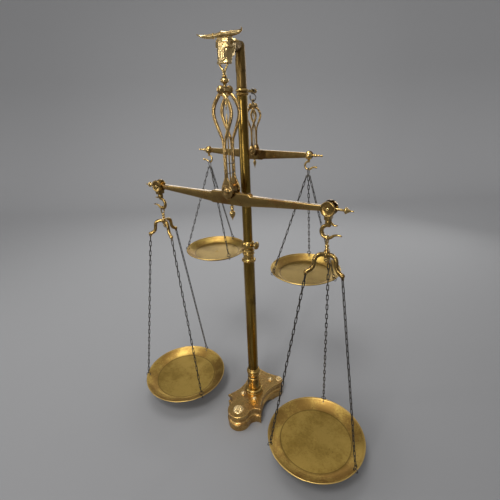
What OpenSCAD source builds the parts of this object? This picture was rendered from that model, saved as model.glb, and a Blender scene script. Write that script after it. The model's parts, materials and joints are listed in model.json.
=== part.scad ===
// Butcher's balance stand: a cast base and a turned column carry a bull's head,
// from whose nose the large balance hangs, with the small balance behind.
// Millimetres, +Z up, the large balance toward -Y, origin on the floor under the column.

/* [Base] */
// Height of the lower slab
plinth_h = 38; // [30:1:50]
// Height of the moulded upper slab
cap_h = 38; // [30:1:50]
// How far the plinth's top ledge stands out
ledge = 2; // [0:0.5:3]
// Radius of the round front lobe
lobe_r = 46; // [42:1:50]
// Centre of the front lobe along Y
lobe_y = -120; // [-126:1:-116]
// Centre of the notch between lobe and shoulder, X
notch_x = 77.6; // [74:0.2:80]
// Centre of the notch between lobe and shoulder, Y
notch_y = -113.2; // [-115:0.2:-111]
// Half width of the waist
waist_x = 55; // [50:1:58]
// Where the waist is narrowest along Y
waist_y = 4; // [0:1:8]
// Radius of the waist curve
waist_r = 142; // [138:1:146]
// Centre of the rear corners, X
corner_x = 58; // [54:1:60]
// Centre of the rear corners, Y
corner_y = 99; // [94:1:104]
// Middle of the rear edge along Y
back_y = 116.5; // [114:0.5:118]
// Radius of the arch cut under each waist
arch_r = 60; // [52:1:66]
// Height of that arch
arch_rise = 22; // [12:1:26]
// How deep the arch cuts in from the waist
arch_depth = 20; // [10:1:26]
// Radius of the four base bolts
bolt_r = 4; // [3:0.5:5]
// How deep the bolts and the stud reach down, height of their seats
bolt_seat = 20; // [14:1:26]
// Radius of the bolt washers
washer_r = 11; // [9:0.5:13]
// Radius of the cast rosettes
rosette_r = 13; // [10:0.5:15]

/* [Column] */
// Radius of the foot disc
flange_r = 39; // [36:0.5:42]
// Height of the foot disc and its bulge
flange_h = 21; // [19:1:26]
// Height of the turned foot
foot_h = 74; // [68:1:90]
// Height of the rings above the foot
rings_h = 31; // [31:1:36]
// Outer radius of the lower tube
lower_r = 20.5; // [19.5:0.5:22]
// Wall of the lower tube
lower_wall = 2.5; // [2:0.25:3.5]
// Length of the lower tube
lower_l = 500; // [420:5:560]
// Height of the middle joint
middle_h = 80; // [80:1:90]
// How deep the spigots reach into the tubes
spigot_l = 20; // [16:1:30]
// Outer radius of the upper tube
upper_r = 16.5; // [15.5:0.25:17]
// Wall of the upper tube
upper_wall = 2.5; // [2:0.25:3.5]
// Length of the upper tube above the middle joint
upper_l = 471; // [420:1:520]
// Height of the collar under the neck
collar_h = 20; // [20:1:26]
// Radius of the stud up the middle of the foot
stud_r = 8; // [6:0.5:9]
// Radius of the lock screw's shank
screw_r = 3; // [2.5:0.25:3.5]
// Radius of the lock screw's knob
screw_knob_r = 14; // [11:0.5:16]

/* [Bull's head] */
// Height of the muzzle's bottom above the collar
muzzle_up = 60; // [56:1:66]
// Height of the nose pin above the muzzle's bottom
nose_up = 13; // [12:0.5:15]
// Radius of the nose pin
nose_r = 2.5; // [2:0.25:3]
// Half width of the muzzle
muzzle_w = 17.5; // [17.5:0.5:20]
// Radius of the bar between the horns
horn_r = 6.5; // [5:0.5:8]
// Half span of the straight bar
horn_bar = 26; // [24:1:30]
// Reach of each horn past the bar
horn_l = 54; // [44:1:60]
// How far the horn tips curve forward
horn_fwd = 30; // [20:1:36]
// How far the horn tips rise
horn_rise = 14; // [8:1:22]

/* [Large balance] */
// Distance of the large beam in front of the column
front_y = 84; // [80:1:88]
// Nose pin to crossbar
bail_l = 76; // [76:1:84]
// Half spacing of the bail's legs
bail_w = 13.5; // [13:0.25:14]
// Radius of the bail's wire
bail_r = 2.5; // [2:0.25:2.5]
// Radius of the bail's turned knob
knob_r = 12.5; // [11:0.5:14]
// Radius of the crossbar
bar_r = 4; // [3:0.5:5]
// Crossbar to beam axle
frame_l = 283; // [270:1:300]
// Distance of each stirrup frame from the beam's plane
frame_y = 20; // [19:0.5:22]
// Thickness of the stirrup frames
frame_t = 6; // [5:0.5:7]
// Radius of the balls on the frames
ball_r = 10.4; // [9:0.2:11]
// Half width of the lyre at its widest
lyre_w = 32; // [28:1:36]
// Width of the lyre's bars
lyre_bar = 6.5; // [5:0.5:8]
// Width of the stem under the lyre
stem_w = 11; // [9:0.5:13]
// Radius of the bearing plates
plate_r = 21; // [20:0.5:23]
// Radius of the beam's axle
axle_r = 5; // [4:0.5:6]
// Beam axle to end pivots along X
arm_l = 322; // [300:1:340]
// How far the end pivots lie under the axle
arm_drop = 19; // [15:1:24]
// Thickness of the beam
beam_t = 15; // [12:0.5:15]
// Thickness of the beam's middle block
beam_mid_t = 22; // [18:0.5:26]
// Half length of the middle block
beam_mid_l = 70; // [60:1:90]
// Height of the beam's ends
beam_end_h = 21; // [18:0.5:22]
// Depth of the beam under the axle
beam_belly = 50; // [44:1:54]
// Radius of the end pins
pin_r = 3; // [2.5:0.25:4]
// Radius of the drum cheeks on the hooks
drum_r = 21; // [19:0.5:23]
// Thickness of each drum cheek
cheek_t = 7; // [5:0.5:8]
// Gap between the two cheeks
cheek_gap = 16; // [16:0.5:18]
// Length of the finials past the end pivots
finial_l = 68; // [60:1:80]
// Length of the needle above the axle
needle_l = 222; // [200:1:228]
// Height of the spacer bows above the axle
bow_up = [53, 82];
// Radius of the hook's curve
hook_R = 19; // [17:0.5:20]
// Radius of the hook's wire
hook_r = 4; // [3:0.25:4.5]
// End pivot to the hook's lowest point
hook_l = 85; // [83:1:95]

/* [Large pans] */
// Radius of the pans
pan_r = 178; // [160:1:180]
// Radius of the flat bottom
pan_flat = 130; // [110:1:140]
// Depth of the pans
pan_depth = 22; // [18:1:28]
// Thickness of the pan sheet
pan_t = 1.6; // [1.2:0.1:2.2]
// Distance of the ring holes from the centre
hole_c = 167; // [150:0.5:168]
// Hook's lowest point to the pan rim
pan_drop = 791; // [740:1:800]
// Radius of the swivel stem
stem_r = 3; // [2.5:0.25:3.5]
// Reach of the spider's arms
spider_r = 60; // [54:1:66]
// Width of the spider's arms
spider_w = 8; // [7:0.5:9]
// Drop from the spider's hub to its tips
spider_drop = 48; // [42:1:54]
// Turn of the left pan's chains
turn_left = 95; // [90:1:100]
// Turn of the right pan's chains
turn_right = 102; // [100:1:104]
// Wire radius of the chain links
link_r = 1.4; // [1.1:0.1:1.5]
// Half width of a link, middle of the wire
link_w = 3.1; // [3.1:0.1:3.6]
// Pitch that the chain aims at
link_p = 20.5; // [17:0.5:26]
// Radius of the rings on the pan
ring_R = 8.3; // [7.8:0.1:9]
// Wire radius of those rings
ring_r = 1.2; // [1:0.1:1.3]

/* [Small balance] */
// Distance of the small beam behind the column
rear_y = 61; // [58:1:64]
// Height of the bracket arm above the collar's foot
arm_up = 13; // [11:0.5:14]
// Radius of the bracket arm
arm_r = 4.5; // [4:0.25:5]
// Wire radius of the S-hook
s_r = 2.2; // [1.8:0.1:2.4]
// Bracket arm to the S-hook's lowest point
s_l = 28; // [28:1:34]
// Lowest point of the S-hook to the crossbar
rear_bar_l = 14; // [14:0.5:18]
// Crossbar to beam axle
rear_frame_l = 140; // [130:1:150]
// Distance of each frame from the beam's plane
rear_frame_y = 14; // [13.5:0.5:16]
// Thickness of the frames
rear_frame_t = 4; // [3:0.5:4]
// Radius of the balls on the frames
rear_ball_r = 6.8; // [6:0.2:7.2]
// Half width of the lyre
rear_lyre_w = 18; // [16:0.5:22]
// Width of the lyre's bars
rear_lyre_bar = 4; // [3:0.5:5]
// Width of the stem under the lyre
rear_stem_w = 7; // [6:0.5:9]
// Radius of the bearing plates
rear_plate_r = 12; // [11:0.5:13]
// Radius of the axle
rear_axle_r = 3; // [2.5:0.25:3.5]
// Beam axle to end pivots along X
rear_arm_l = 196; // [180:1:200]
// How far the end pivots lie under the axle
rear_arm_drop = 4; // [2:0.5:8]
// Thickness of the beam
rear_beam_t = 8; // [6:0.5:8.5]
// Height of the beam's ends
rear_end_h = 12; // [10:0.5:13]
// Height of the beam's middle
rear_mid_h = 28; // [24:1:32]
// Radius of the ball housings on the hooks
rear_drum_r = 13.5; // [13:0.5:15]
// Slot in those housings
rear_slot = 9; // [9:0.5:10]
// Length of the finials past the end pivots
rear_finial_l = 45; // [40:1:50]
// Length of the needle above the axle
rear_needle_l = 100; // [80:1:102]
// Radius of the hook's curve
rear_hook_R = 12; // [11:0.5:13]
// Radius of the hook's wire
rear_hook_r = 3; // [2.5:0.25:3.25]
// End pivot to the hook's lowest point
rear_hook_l = 43; // [42:0.5:48]

/* [Small pans] */
// Radius of the pans
rear_pan_r = 122; // [112:1:122]
// Radius of the flat bottom
rear_flat = 88; // [76:1:94]
// Depth of the pans
rear_depth = 18; // [14:1:22]
// Thickness of the pan sheet
rear_pan_t = 1.4; // [1.1:0.1:1.8]
// Distance of the ring holes from the centre
rear_hole_c = 114; // [104:0.5:114]
// Hook's lowest point to the pan rim
rear_pan_drop = 344; // [320:1:360]
// Turn of the left pan's chains
rear_turn_left = 91; // [85:1:95]
// Turn of the right pan's chains
rear_turn_right = 107; // [105:1:109]
// Wire radius of the chain links
rear_link_r = 1.1; // [0.9:0.1:1.1]
// Half width of a link, middle of the wire
rear_link_w = 2.5; // [2.5:0.1:2.8]
// Pitch that the chain aims at
rear_link_p = 16.5; // [14:0.5:20]
// Radius of the rings on the pan
rear_ring_R = 6.5; // [6.2:0.1:7]
// Wire radius of those rings
rear_ring_r = 1; // [0.8:0.1:1]

/* [Fits] */
// Radial clearance of a turning pin
run_fit = 0.05; // [0.03:0.01:0.1]
// Gap between parts that hang in or rest on each other
touch = 0.2; // [0.15:0.05:0.3]
// Radial clearance of fixed spigots and bolts
slip = 0.1; // [0.05:0.05:0.2]

/* [Hidden] */
$fn = 64;
eps = 0.01;

// Heights up the column
base_h = plinth_h + cap_h;
foot_z = base_h + flange_h;
rings_z = foot_z + foot_h;
tube_z = rings_z + rings_h;
middle_z = tube_z + lower_l;
upper_z = middle_z + middle_h;
collar_z = upper_z + upper_l;
neck_z = collar_z + collar_h;
muzzle_z = neck_z + muzzle_up;
nose_z = muzzle_z + nose_up;
screw_z = middle_z + 68;
lower_in = lower_r - lower_wall;
upper_in = upper_r - upper_wall;
socket_z = middle_z - 8;

// Heights down the large balance
bar_z = nose_z - bail_l;
axle_z = bar_z - frame_l;
end_z = axle_z - arm_drop;
hook_z = end_z - hook_l;
rim_z = hook_z - pan_drop;
hub_h = 20;
hub_z = hook_z - 49;
tip_z = hub_z - spider_drop;

// Heights down the small balance
arm_z = collar_z + arm_up;
s_z = arm_z - s_l;
rear_bar_z = s_z - rear_bar_l;
rear_axle_z = rear_bar_z - rear_frame_l;
rear_end_z = rear_axle_z - rear_arm_drop;
rear_hook_z = rear_end_z - rear_hook_l;
rear_rim_z = rear_hook_z - rear_pan_drop;

// Outline of the base
corner_r = norm([waist_x + waist_r - corner_x, waist_y - corner_y]) - waist_r;
notch_r = norm([notch_x, notch_y - lobe_y]) - lobe_r;
back_k = corner_r + corner_y - back_y;
back_c = corner_y + (corner_x * corner_x - back_k * back_k) / (2 * back_k);
bolts = [[28, -44], [33, 84]];
rosettes = [[0, lobe_y - 5], [corner_x + 5, corner_y + 10], [-corner_x - 5, corner_y + 10]];

function arc(c, r, a0, a1, step = 5) = let (n = ceil(abs(a1 - a0) / step))
    [for (i = [0 : n]) let (a = a0 + (a1 - a0) * i / n) c + r * [cos(a), sin(a)]];
function angle(a, b) = atan2(b[1] - a[1], b[0] - a[0]);
function meet(a, ra, b, rb) = let (v = b - a, d = norm(v), s = (ra * ra - rb * rb + d * d) / (2 * d))
    a + v * s / d + sqrt(ra * ra - s * s) * [-v[1], v[0]] / d;
function back(p) = [for (i = [len(p) - 1 : -1 : 0]) p[i]];
function flip(p) = [for (i = [len(p) - 1 : -1 : 0]) [-p[i][0], p[i][1]]];
function mix(a, b, t) = a + (b - a) * t;
// A smooth curve through a list of points, n steps from each to the next
function knot(p, i) = p[max(0, min(len(p) - 1, i))];
function spline(p, n = 6) = [for (i = [0 : len(p) - 2], k = [0 : i == len(p) - 2 ? n : n - 1])
    let (t = k / n, a = knot(p, i - 1), b = p[i], c = p[i + 1], d = knot(p, i + 2))
    0.5 * (2 * b + (c - a) * t + (2 * a - 5 * b + 4 * c - d) * t * t
        + (3 * b - a - 3 * c + d) * t * t * t)];

module turned(p) rotate_extrude() polygon(p);
module torus(R, r) rotate_extrude() translate([R, 0]) circle(r);
module bend(R, r, a0, a1) rotate([90, 0, 0]) rotate([0, 0, a0]) rotate_extrude(angle = a1 - a0)
    translate([R, 0]) circle(r);
module along_y(l, r) rotate([90, 0, 0]) cylinder(h = l, r = r, center = true);
module along_x(l, r) rotate([0, 90, 0]) cylinder(h = l, r = r, center = true);
module dome(r, h) intersection() {
    translate([0, 0, h - (r * r + h * h) / (2 * h)]) sphere((r * r + h * h) / (2 * h));
    cylinder(h = h, r = r);
}
// A straight bar from p to q, tapering from r1 to r2
module rod(p, q, r1, r2) translate(p)
    rotate([0, acos((q - p)[2] / norm(q - p)), atan2((q - p)[1], (q - p)[0])])
    cylinder(h = norm(q - p), r1 = r1, r2 = r2);

// Base

function half_outline(g) = let (lobe = [0, lobe_y], notch = [notch_x, notch_y],
    waist = [waist_x + waist_r, waist_y], corner = [corner_x, corner_y], back = [0, back_c],
    tip = meet(notch, notch_r - g, waist, waist_r - g)) concat(
    arc(lobe, lobe_r + g, -90, angle(lobe, notch)),
    arc(notch, notch_r - g, angle(lobe, notch) + 180, angle(notch, tip)),
    arc(waist, waist_r - g, angle(waist, tip) + 360, angle(corner, waist) + 180, 4),
    arc(corner, corner_r + g, angle(corner, waist), angle(corner, back)),
    arc(back, back_c - back_y - g, angle(corner, back) + 180, 270, 3));
module base_outline(g = 0) polygon(concat(half_outline(g), flip(half_outline(g))));
module slab(z0, z1, g) translate([0, 0, z0]) linear_extrude(z1 - z0) base_outline(g);
module at_bolts() for (p = bolts, s = [-1, 1]) translate([s * p[0], p[1], 0]) children();

module base_plinth() color("darkgoldenrod") difference() {
    union() {
        slab(0, plinth_h - 3, 0);
        slab(plinth_h - 3, plinth_h, ledge);
    }
    for (s = [-1, 1]) translate([s * (waist_x - arch_depth), waist_y, arch_rise - arch_r])
        rotate([0, s * 90, 0]) cylinder(h = 80, r = arch_r);
    translate([0, 0, bolt_seat]) cylinder(h = base_h, r = stud_r + slip);
    at_bolts() translate([0, 0, bolt_seat]) cylinder(h = base_h, r = bolt_r + slip);
}

module base_cap() color("darkgoldenrod") difference() {
    union() {
        slab(plinth_h, plinth_h + 4, -1);
        slab(plinth_h + 4, base_h - 16, -5);
        slab(base_h - 16, base_h - 3, 0);
        slab(base_h - 3, base_h, -2);
    }
    cylinder(h = 3 * base_h, r = stud_r + slip, center = true);
    at_bolts() cylinder(h = 3 * base_h, r = bolt_r + slip, center = true);
}

module base_bolts() color("goldenrod") at_bolts() {
    translate([0, 0, bolt_seat]) cylinder(h = base_h + 1 - bolt_seat, r = bolt_r);
    translate([0, 0, base_h]) cylinder(h = 3, r = washer_r);
    translate([0, 0, base_h + 3]) dome(washer_r - 3, 7);
}

module base_rosettes() color("goldenrod") for (p = rosettes) translate([p[0], p[1], base_h]) {
    cylinder(h = 2, r = rosette_r);
    for (a = [0 : 45 : 315]) rotate([0, 0, a]) translate([rosette_r - 4, 0, 1.8]) dome(3, 1.7);
    translate([0, 0, 1.8]) dome(5.5, 5.2);
}

module foot_stud() color("dimgray")
    translate([0, 0, bolt_seat]) cylinder(h = foot_z + 50 - bolt_seat, r = stud_r);

// Column

module foot_flange() color("darkgoldenrod") translate([0, 0, base_h]) difference() {
    turned(concat([[0, 0], [flange_r, 0], [flange_r, 6.5], [flange_r - 1.5, 8]],
        arc([flange_r - 9, flange_h - 7.5 + 0.5], 7.5, -60, 90, 15),
        [[flange_r - 11, flange_h], [0, flange_h]]));
    cylinder(h = 200, r = stud_r + slip, center = true);
}

module column_foot() color("darkgoldenrod") translate([0, 0, foot_z]) difference() {
    turned(concat([[0, 0]], arc([24, 3], 3, -90, 0, 15),
        spline([[27, 10], [26.6, 24], [24.6, 38], [23, 50]], 4),
        arc([22.5, foot_h - 20], 2.6, -80, 80, 20),
        [[22.2, foot_h - 16], [22.5, foot_h - 6], [23.5, foot_h], [0, foot_h]]));
    translate([0, 0, -eps]) cylinder(h = 50 + eps, r = stud_r + slip);
}

module foot_rings() color("darkgoldenrod") translate([0, 0, rings_z]) {
    turned(concat([[0, 0], [22.5, 0]], arc([22.5, 3], 2.5, -90, 90, 20), [[22, 6]],
        arc([19, 15], 8.5, -70, 70, 10), [[22, 24]],
        arc([21.5, 27], 2.5, -90, 90, 20), [[lower_r, rings_h], [0, rings_h]]));
    translate([0, 0, rings_h - eps]) cylinder(h = spigot_l, r = lower_in - slip);
}

module lower_column() color("darkgoldenrod") translate([0, 0, tube_z]) difference() {
    cylinder(h = lower_l, r = lower_r);
    translate([0, 0, -1]) cylinder(h = lower_l + 2, r = lower_in);
}

module middle_joint() color("darkgoldenrod") translate([0, 0, middle_z]) difference() {
    union() {
        turned(concat([[0, 0], [lower_r, 0]], arc([lower_r, 6], 5.2, -80, 80, 20),
            [[19.6, 13], [19, 20], [19.2, 29]], arc([19.4, 33], 2.6, -80, 80, 20),
            [[19.2, 38], [19.2, 40]], arc([19.4, 44], 2.6, -80, 80, 20), [[19, 48], [18.6, 54]],
            spline([[20.4, 57], [22.2, 62], [22.6, 68], [21.6, 74], [19.6, 78]], 3),
            [[upper_r + 1.2, middle_h], [0, middle_h]]));
        translate([0, 0, -spigot_l]) cylinder(h = spigot_l + eps, r = lower_in - slip);
    }
    translate([0, 0, socket_z - middle_z]) cylinder(h = 200, r = upper_r + slip);
    translate([0, 0, screw_z - middle_z]) rotate([0, 90, 0]) cylinder(h = 60, r = screw_r + run_fit);
}

module lock_screw() color("goldenrod")
    translate([upper_r + touch, 0, screw_z]) rotate([0, 90, 0]) {
        cylinder(h = 12, r = screw_r);
        translate([0, 0, 23 + touch - upper_r]) {
            turned([[0, 0], [5, 0], [4.5, 4], [6, 6], [screw_knob_r - 2, 7], [screw_knob_r, 9],
                [screw_knob_r, 13], [screw_knob_r - 2, 15], [0, 15]]);
            translate([0, 0, 15]) dome(screw_knob_r - 5, 3);
        }
    }

module upper_column() color("darkgoldenrod") translate([0, 0, socket_z]) difference() {
    cylinder(h = collar_z - socket_z, r = upper_r);
    translate([0, 0, -1]) cylinder(h = collar_z - socket_z + 2, r = upper_in);
}

module upper_collar() color("darkgoldenrod") translate([0, 0, collar_z]) difference() {
    union() {
        turned(concat([[0, 0], [upper_r, 0]], arc([upper_r + 0.8, 5], 3, -80, 80, 20),
            [[upper_r, 9.5], [upper_r, 10.5]], arc([upper_r + 0.8, 15], 3, -80, 80, 20),
            [[upper_r - 0.5, collar_h], [0, collar_h]]));
        translate([0, 0, -spigot_l]) cylinder(h = spigot_l + eps, r = upper_in - slip);
        translate([0, 0, collar_h - eps]) cylinder(h = 16, r = 7);
    }
    translate([0, 40, arm_up]) rotate([90, 0, 0]) cylinder(h = 30, r = arm_r + slip);
}

// Bull's head

// Where the neck's front meets the head
face_y = 46;

module neck_form() {
    hull() {
        translate([0, 0, neck_z]) cylinder(h = 2, r = upper_r - 1, $fn = 32);
        translate([0, -1, neck_z + 66]) sphere(16.5, $fn = 32);
    }
    hull() {
        translate([0, -1, neck_z + 66]) sphere(16.5, $fn = 32);
        translate([0, -6, neck_z + 106]) sphere(17, $fn = 32);
        translate([0, -38, neck_z + 112]) sphere(20, $fn = 32);
    }
}

module column_neck() color("darkgoldenrod") difference() {
    neck_form();
    translate([-60, -face_y - 80, neck_z]) cube([120, 80, 200]);
    translate([0, 0, neck_z - eps]) cylinder(h = 17, r = 7 + slip);
    translate([0, 0, neck_z - 40]) cube([60, 60, 80], center = true);
}

// A rounded block between two half widths, for the cast face
module ball_pair(w, y, z, r) for (s = [-1, 1]) translate([s * (w - r), y, z]) sphere(r, $fn = 32);

module bull_head() color("goldenrod") difference() {
    union() {
        hull() {
            ball_pair(muzzle_w + 2, -front_y - 6, muzzle_z + 5, 4);
            ball_pair(muzzle_w + 1, -front_y + 9, muzzle_z + 5, 4);
            ball_pair(muzzle_w, -front_y - 6, muzzle_z + 11, 5);
        }
        hull() {
            ball_pair(muzzle_w, -front_y - 5, muzzle_z + 10, 5);
            ball_pair(muzzle_w, -front_y + 10, muzzle_z + 10, 5);
            ball_pair(muzzle_w + 1, -front_y - 4, muzzle_z + 36, 6);
            ball_pair(muzzle_w + 4, -front_y + 22, muzzle_z + 36, 9);
        }
        hull() {
            ball_pair(25, -front_y + 4, muzzle_z + 44, 7);
            ball_pair(21, -front_y + 2, muzzle_z + 54, 6);
            ball_pair(24, -front_y + 28, muzzle_z + 48, 12);
            ball_pair(20, -front_y + 32, muzzle_z + 28, 10);
        }
        hull() {
            ball_pair(22, -front_y + 4, muzzle_z + 62, 5);
            ball_pair(21, -front_y + 30, muzzle_z + 60, 10);
        }
        translate([0, 1 - front_y, muzzle_z + 69]) along_x(2 * horn_bar, horn_r);
        hull() {
            translate([0, 2 - front_y, muzzle_z + 71]) sphere(8, $fn = 32);
            ball_pair(20, 2 - front_y, muzzle_z + 69, 5);
            translate([0, -50, muzzle_z + 66]) sphere(12, $fn = 32);
        }
        for (s = [-1, 1]) rod([s * 18, -62, muzzle_z + 58], [s * 36, -54, muzzle_z + 52], 6, 3);
    }
    translate([-60, -face_y, muzzle_z - 20]) cube([120, 80, 200]);
    for (s = [-1, 1]) translate([s * bail_w - 2.9, -front_y - 8.5, muzzle_z - 5])
        cube([5.8, 15, nose_up + 5 + 6.2]);
    translate([0, -front_y, nose_z]) along_x(2 * (bail_w + 3.4), nose_r + slip / 2);
    for (s = [-1, 1]) translate([s * horn_bar, 1 - front_y, muzzle_z + 69])
        rotate([0, s * 90, 0]) cylinder(h = 90, r = horn_r + 9);
}

// One horn: a ferrule on the bar's end, then a taper that sweeps forward and up
function horn_at(t) = [horn_bar + horn_l * sin(t * 80) / sin(80),
    1 - front_y - horn_fwd * pow(t, 2.4), muzzle_z + 69 + horn_rise * pow(t, 2.6)];
function horn_size(t) = t < 0.06 ? horn_r + 0.8 : mix(horn_r, 0.6, pow(t, 1.4));
// A closed skin of round rings along the horn
module horn(sides = 16) color("goldenrod") {
    steps = concat([0, 0.055, 0.065], [for (i = [1 : 11]) 0.065 + 0.935 * i / 11]);
    last = len(steps) - 1;
    points = [for (t = steps, j = [0 : sides - 1]) let (
        d = horn_at(min(1, t + 0.01)) - horn_at(max(0, t - 0.01)), f = d / norm(d),
        u = cross(f, [0, 0, 1]) / norm(cross(f, [0, 0, 1])), v = cross(u, f), a = 360 * j / sides)
        horn_at(t) + horn_size(t) * (u * cos(a) + v * sin(a))];
    polyhedron(points, concat([[for (j = [0 : sides - 1]) j]],
        [[for (j = [sides - 1 : -1 : 0]) last * sides + j]],
        [for (i = [0 : last - 1], j = [0 : sides - 1]) let (k = (j + 1) % sides)
            [i * sides + j, (i + 1) * sides + j, (i + 1) * sides + k, i * sides + k]]));
}
module right_horn() horn();
module left_horn() mirror([1, 0, 0]) horn();

module nose_pin() color("dimgray") translate([0, -front_y, nose_z])
    along_x(2 * (bail_w + 3.3), nose_r);

module rear_bracket() color("darkgoldenrod") {
    translate([0, 10 + slip, arm_z]) rotate([-90, 0, 0]) cylinder(h = rear_y, r = arm_r);
    translate([0, 22, arm_z]) rotate([-90, 0, 0]) cylinder(h = 4, r = arm_r + 1.5);
    translate([0, rear_y + 12, arm_z]) sphere(arm_r + 2.5);
}

// Parts that both balances share

// One side of the lyre, down to the stem: outer edge, then back up its inner edge
function lyre_line(w, l, c) = spline([[c, -0.03 * l], [0.55 * w, -0.045 * l], [0.94 * w, -0.09 * l],
    [w, -0.135 * l], [0.86 * w, -0.21 * l], [0.55 * w, -0.32 * l], [0.24 * w, -0.43 * l],
    [c, -0.48 * l]], 4);
module lyre(w, l, bar, stem, plate) {
    line = lyre_line(w, l, stem / 4);
    for (s = [-1, 1]) scale([s, 1]) polygon(concat(
        [for (i = [0 : len(line) - 1]) line[i] + side(line, i) * bar / 2],
        [for (i = [len(line) - 1 : -1 : 0]) line[i] - side(line, i) * bar / 2]));
    polygon([[-stem / 2 - bar / 4, -0.455 * l], [stem / 2 + bar / 4, -0.455 * l], [stem / 2, -0.5 * l],
        [stem / 2, -0.83 * l], [0.75 * stem, -l + 2 * plate - 0.4 * plate], [0.62 * plate, -l + plate],
        [-0.62 * plate, -l + plate], [-0.75 * stem, -l + 2 * plate - 0.4 * plate],
        [-stem / 2, -0.83 * l], [-stem / 2, -0.5 * l]]);
    translate([0, -l]) circle(plate);
    polygon([[-0.7 * plate, 0.72 * plate - l], [0, 1.38 * plate - l], [0.7 * plate, 0.72 * plate - l],
        [0.7 * plate, -0.72 * plate - l], [0, -1.38 * plate - l], [-0.7 * plate, -0.72 * plate - l]]);
}
function side(p, i) = let (v = knot(p, i + 1) - knot(p, i - 1)) [-v[1], v[0]] / norm(v);

// A stirrup frame with its ball and bearing cap, its outer face toward -Y
module frame(w, l, bar, stem, plate, t, ball, pin, axle, reach) difference() {
    union() {
        rotate([90, 0, 0]) linear_extrude(t, center = true) lyre(w, l, bar, stem, plate);
        sphere(ball);
        translate([0, 0, -ball]) cylinder(h = ball, r = bar * 0.75);
        translate([0, -t / 2, -l]) rotate([90, 0, 0]) {
            torus(0.68 * plate, 0.1 * plate);
            dome(0.46 * plate, 0.3 * plate);
        }
    }
    translate([0, ball + 1, 0]) rotate([90, 0, 0]) cylinder(h = ball + 1 + 0.58 * ball, r = pin + slip / 2);
    translate([0, t, -l]) rotate([90, 0, 0]) cylinder(h = t + reach, r = axle + run_fit);
}

// A closed loop of wire, crown to crown along Z from the origin down
module link(l, w, r) {
    translate([0, 0, -w]) bend(w, r, 0, 180);
    translate([0, 0, w - l]) bend(w, r, 180, 360);
    for (s = [-1, 1]) translate([s * w, 0, w - l]) cylinder(h = l - 2 * w, r = r);
}

// Three chains from eye rings of E, e_r centred at e to the pan rings round the holes at h, both
// [radius, height]
module chains(e, E, e_r, h, R, r, w, wire, aim, turn) {
    c = h + R * [cos(37), sin(37)];
    u = (e - c) / norm(e - c);
    lap = 2 * wire + touch;
    top = e - u * (E - e_r - wire - touch);
    low = c + u * (4 * R - R - 2 * r - touch - r - wire - touch);
    n = 2 * round((norm(top - low) - lap) / aim / 2);
    pitch = (norm(top - low) - lap) / n;
    tilt = atan2(-u[0], u[1]);
    mid = c + u * (2 * R - 2 * r - touch);
    for (a = [0, 120, 240]) rotate([0, 0, turn + a]) {
        translate([c[0], 0, c[1]]) rotate([90, 0, 0]) torus(R, r);
        translate([mid[0], 0, mid[1]]) rotate([0, -tilt, 0]) rotate([0, 90, 0]) torus(R, r);
        translate([top[0], 0, top[1]]) rotate([0, -tilt, 0]) for (k = [0 : n - 1])
            translate([0, 0, -k * pitch]) rotate([0, 0, 90 * ((k + 1) % 2)]) link(pitch + lap, w, wire);
    }
}

// A dished pan, its rim at height z
function dish(R, flat, depth, off) = [for (i = [0 : 8]) let (t = i / 8)
    [mix(flat, R, t), depth * pow(t, 1.5) - depth + off]];
module pan(R, flat, depth, t, hole_c, hole_r, turn) difference() {
    union() {
        turned(concat([[0, -depth]], dish(R - 1, flat, depth, 0), back(dish(R - 1, flat, depth, t)),
            [[0, t - depth]]));
        translate([0, 0, t / 2]) torus(R - 1.8, 1.8);
        translate([0, 0, t - depth]) torus(6, 0.8);
    }
    for (a = [0, 120, 240]) rotate([0, 0, turn + a])
        translate([hole_c, 0, hole_h(R, flat, depth, hole_c) - depth])
        rotate([0, -31, 0]) cylinder(h = 20, r = hole_r, center = true);
}
function hole_h(R, flat, depth, c) = depth * pow((c - flat) / (R - 1 - flat), 1.5);

// The open hook under a housing, its lowest point of wire at the origin's height, opening to +X
module hook_wire(R, r, top) {
    k = 1.26 * R;
    lip = [(R + k) * cos(45), 0, R + k - (R + k) * sin(45)];
    translate([0, 0, R]) bend(R, r, 75, 315);
    translate(lip - [0, 0, k]) bend(k, r, 90, 135);
    translate([R * cos(45), 0, R - R * sin(45)]) sphere(r + 0.2);
    rod(lip, lip + [0.5 * R, 0, 0], r, r);
    translate(lip + [0.5 * R, 0, 0]) sphere(r + 0.8);
    translate([0, 0, 2 * R]) cylinder(h = top - 2 * R, r1 = 0.92 * r, r2 = 1.5 * r);
}

// A rounded finial on its stem, from the origin along +X
module finial(l, stem, r, start) rotate([0, 90, 0]) {
    translate([0, 0, start]) cylinder(h = l - start, r = stem);
    translate([0, 0, l - 3.6 * r]) turned([[0, 0], [stem, 0], [0.55 * r, 0.5 * r], [r, 0.75 * r],
        [r, 0.95 * r], [0.6 * r, 1.9 * r], [0.25 * r, 2.9 * r], [0, 2.9 * r]]);
    translate([0, 0, l - 0.35 * r]) sphere(0.35 * r);
}

// Large balance

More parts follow.
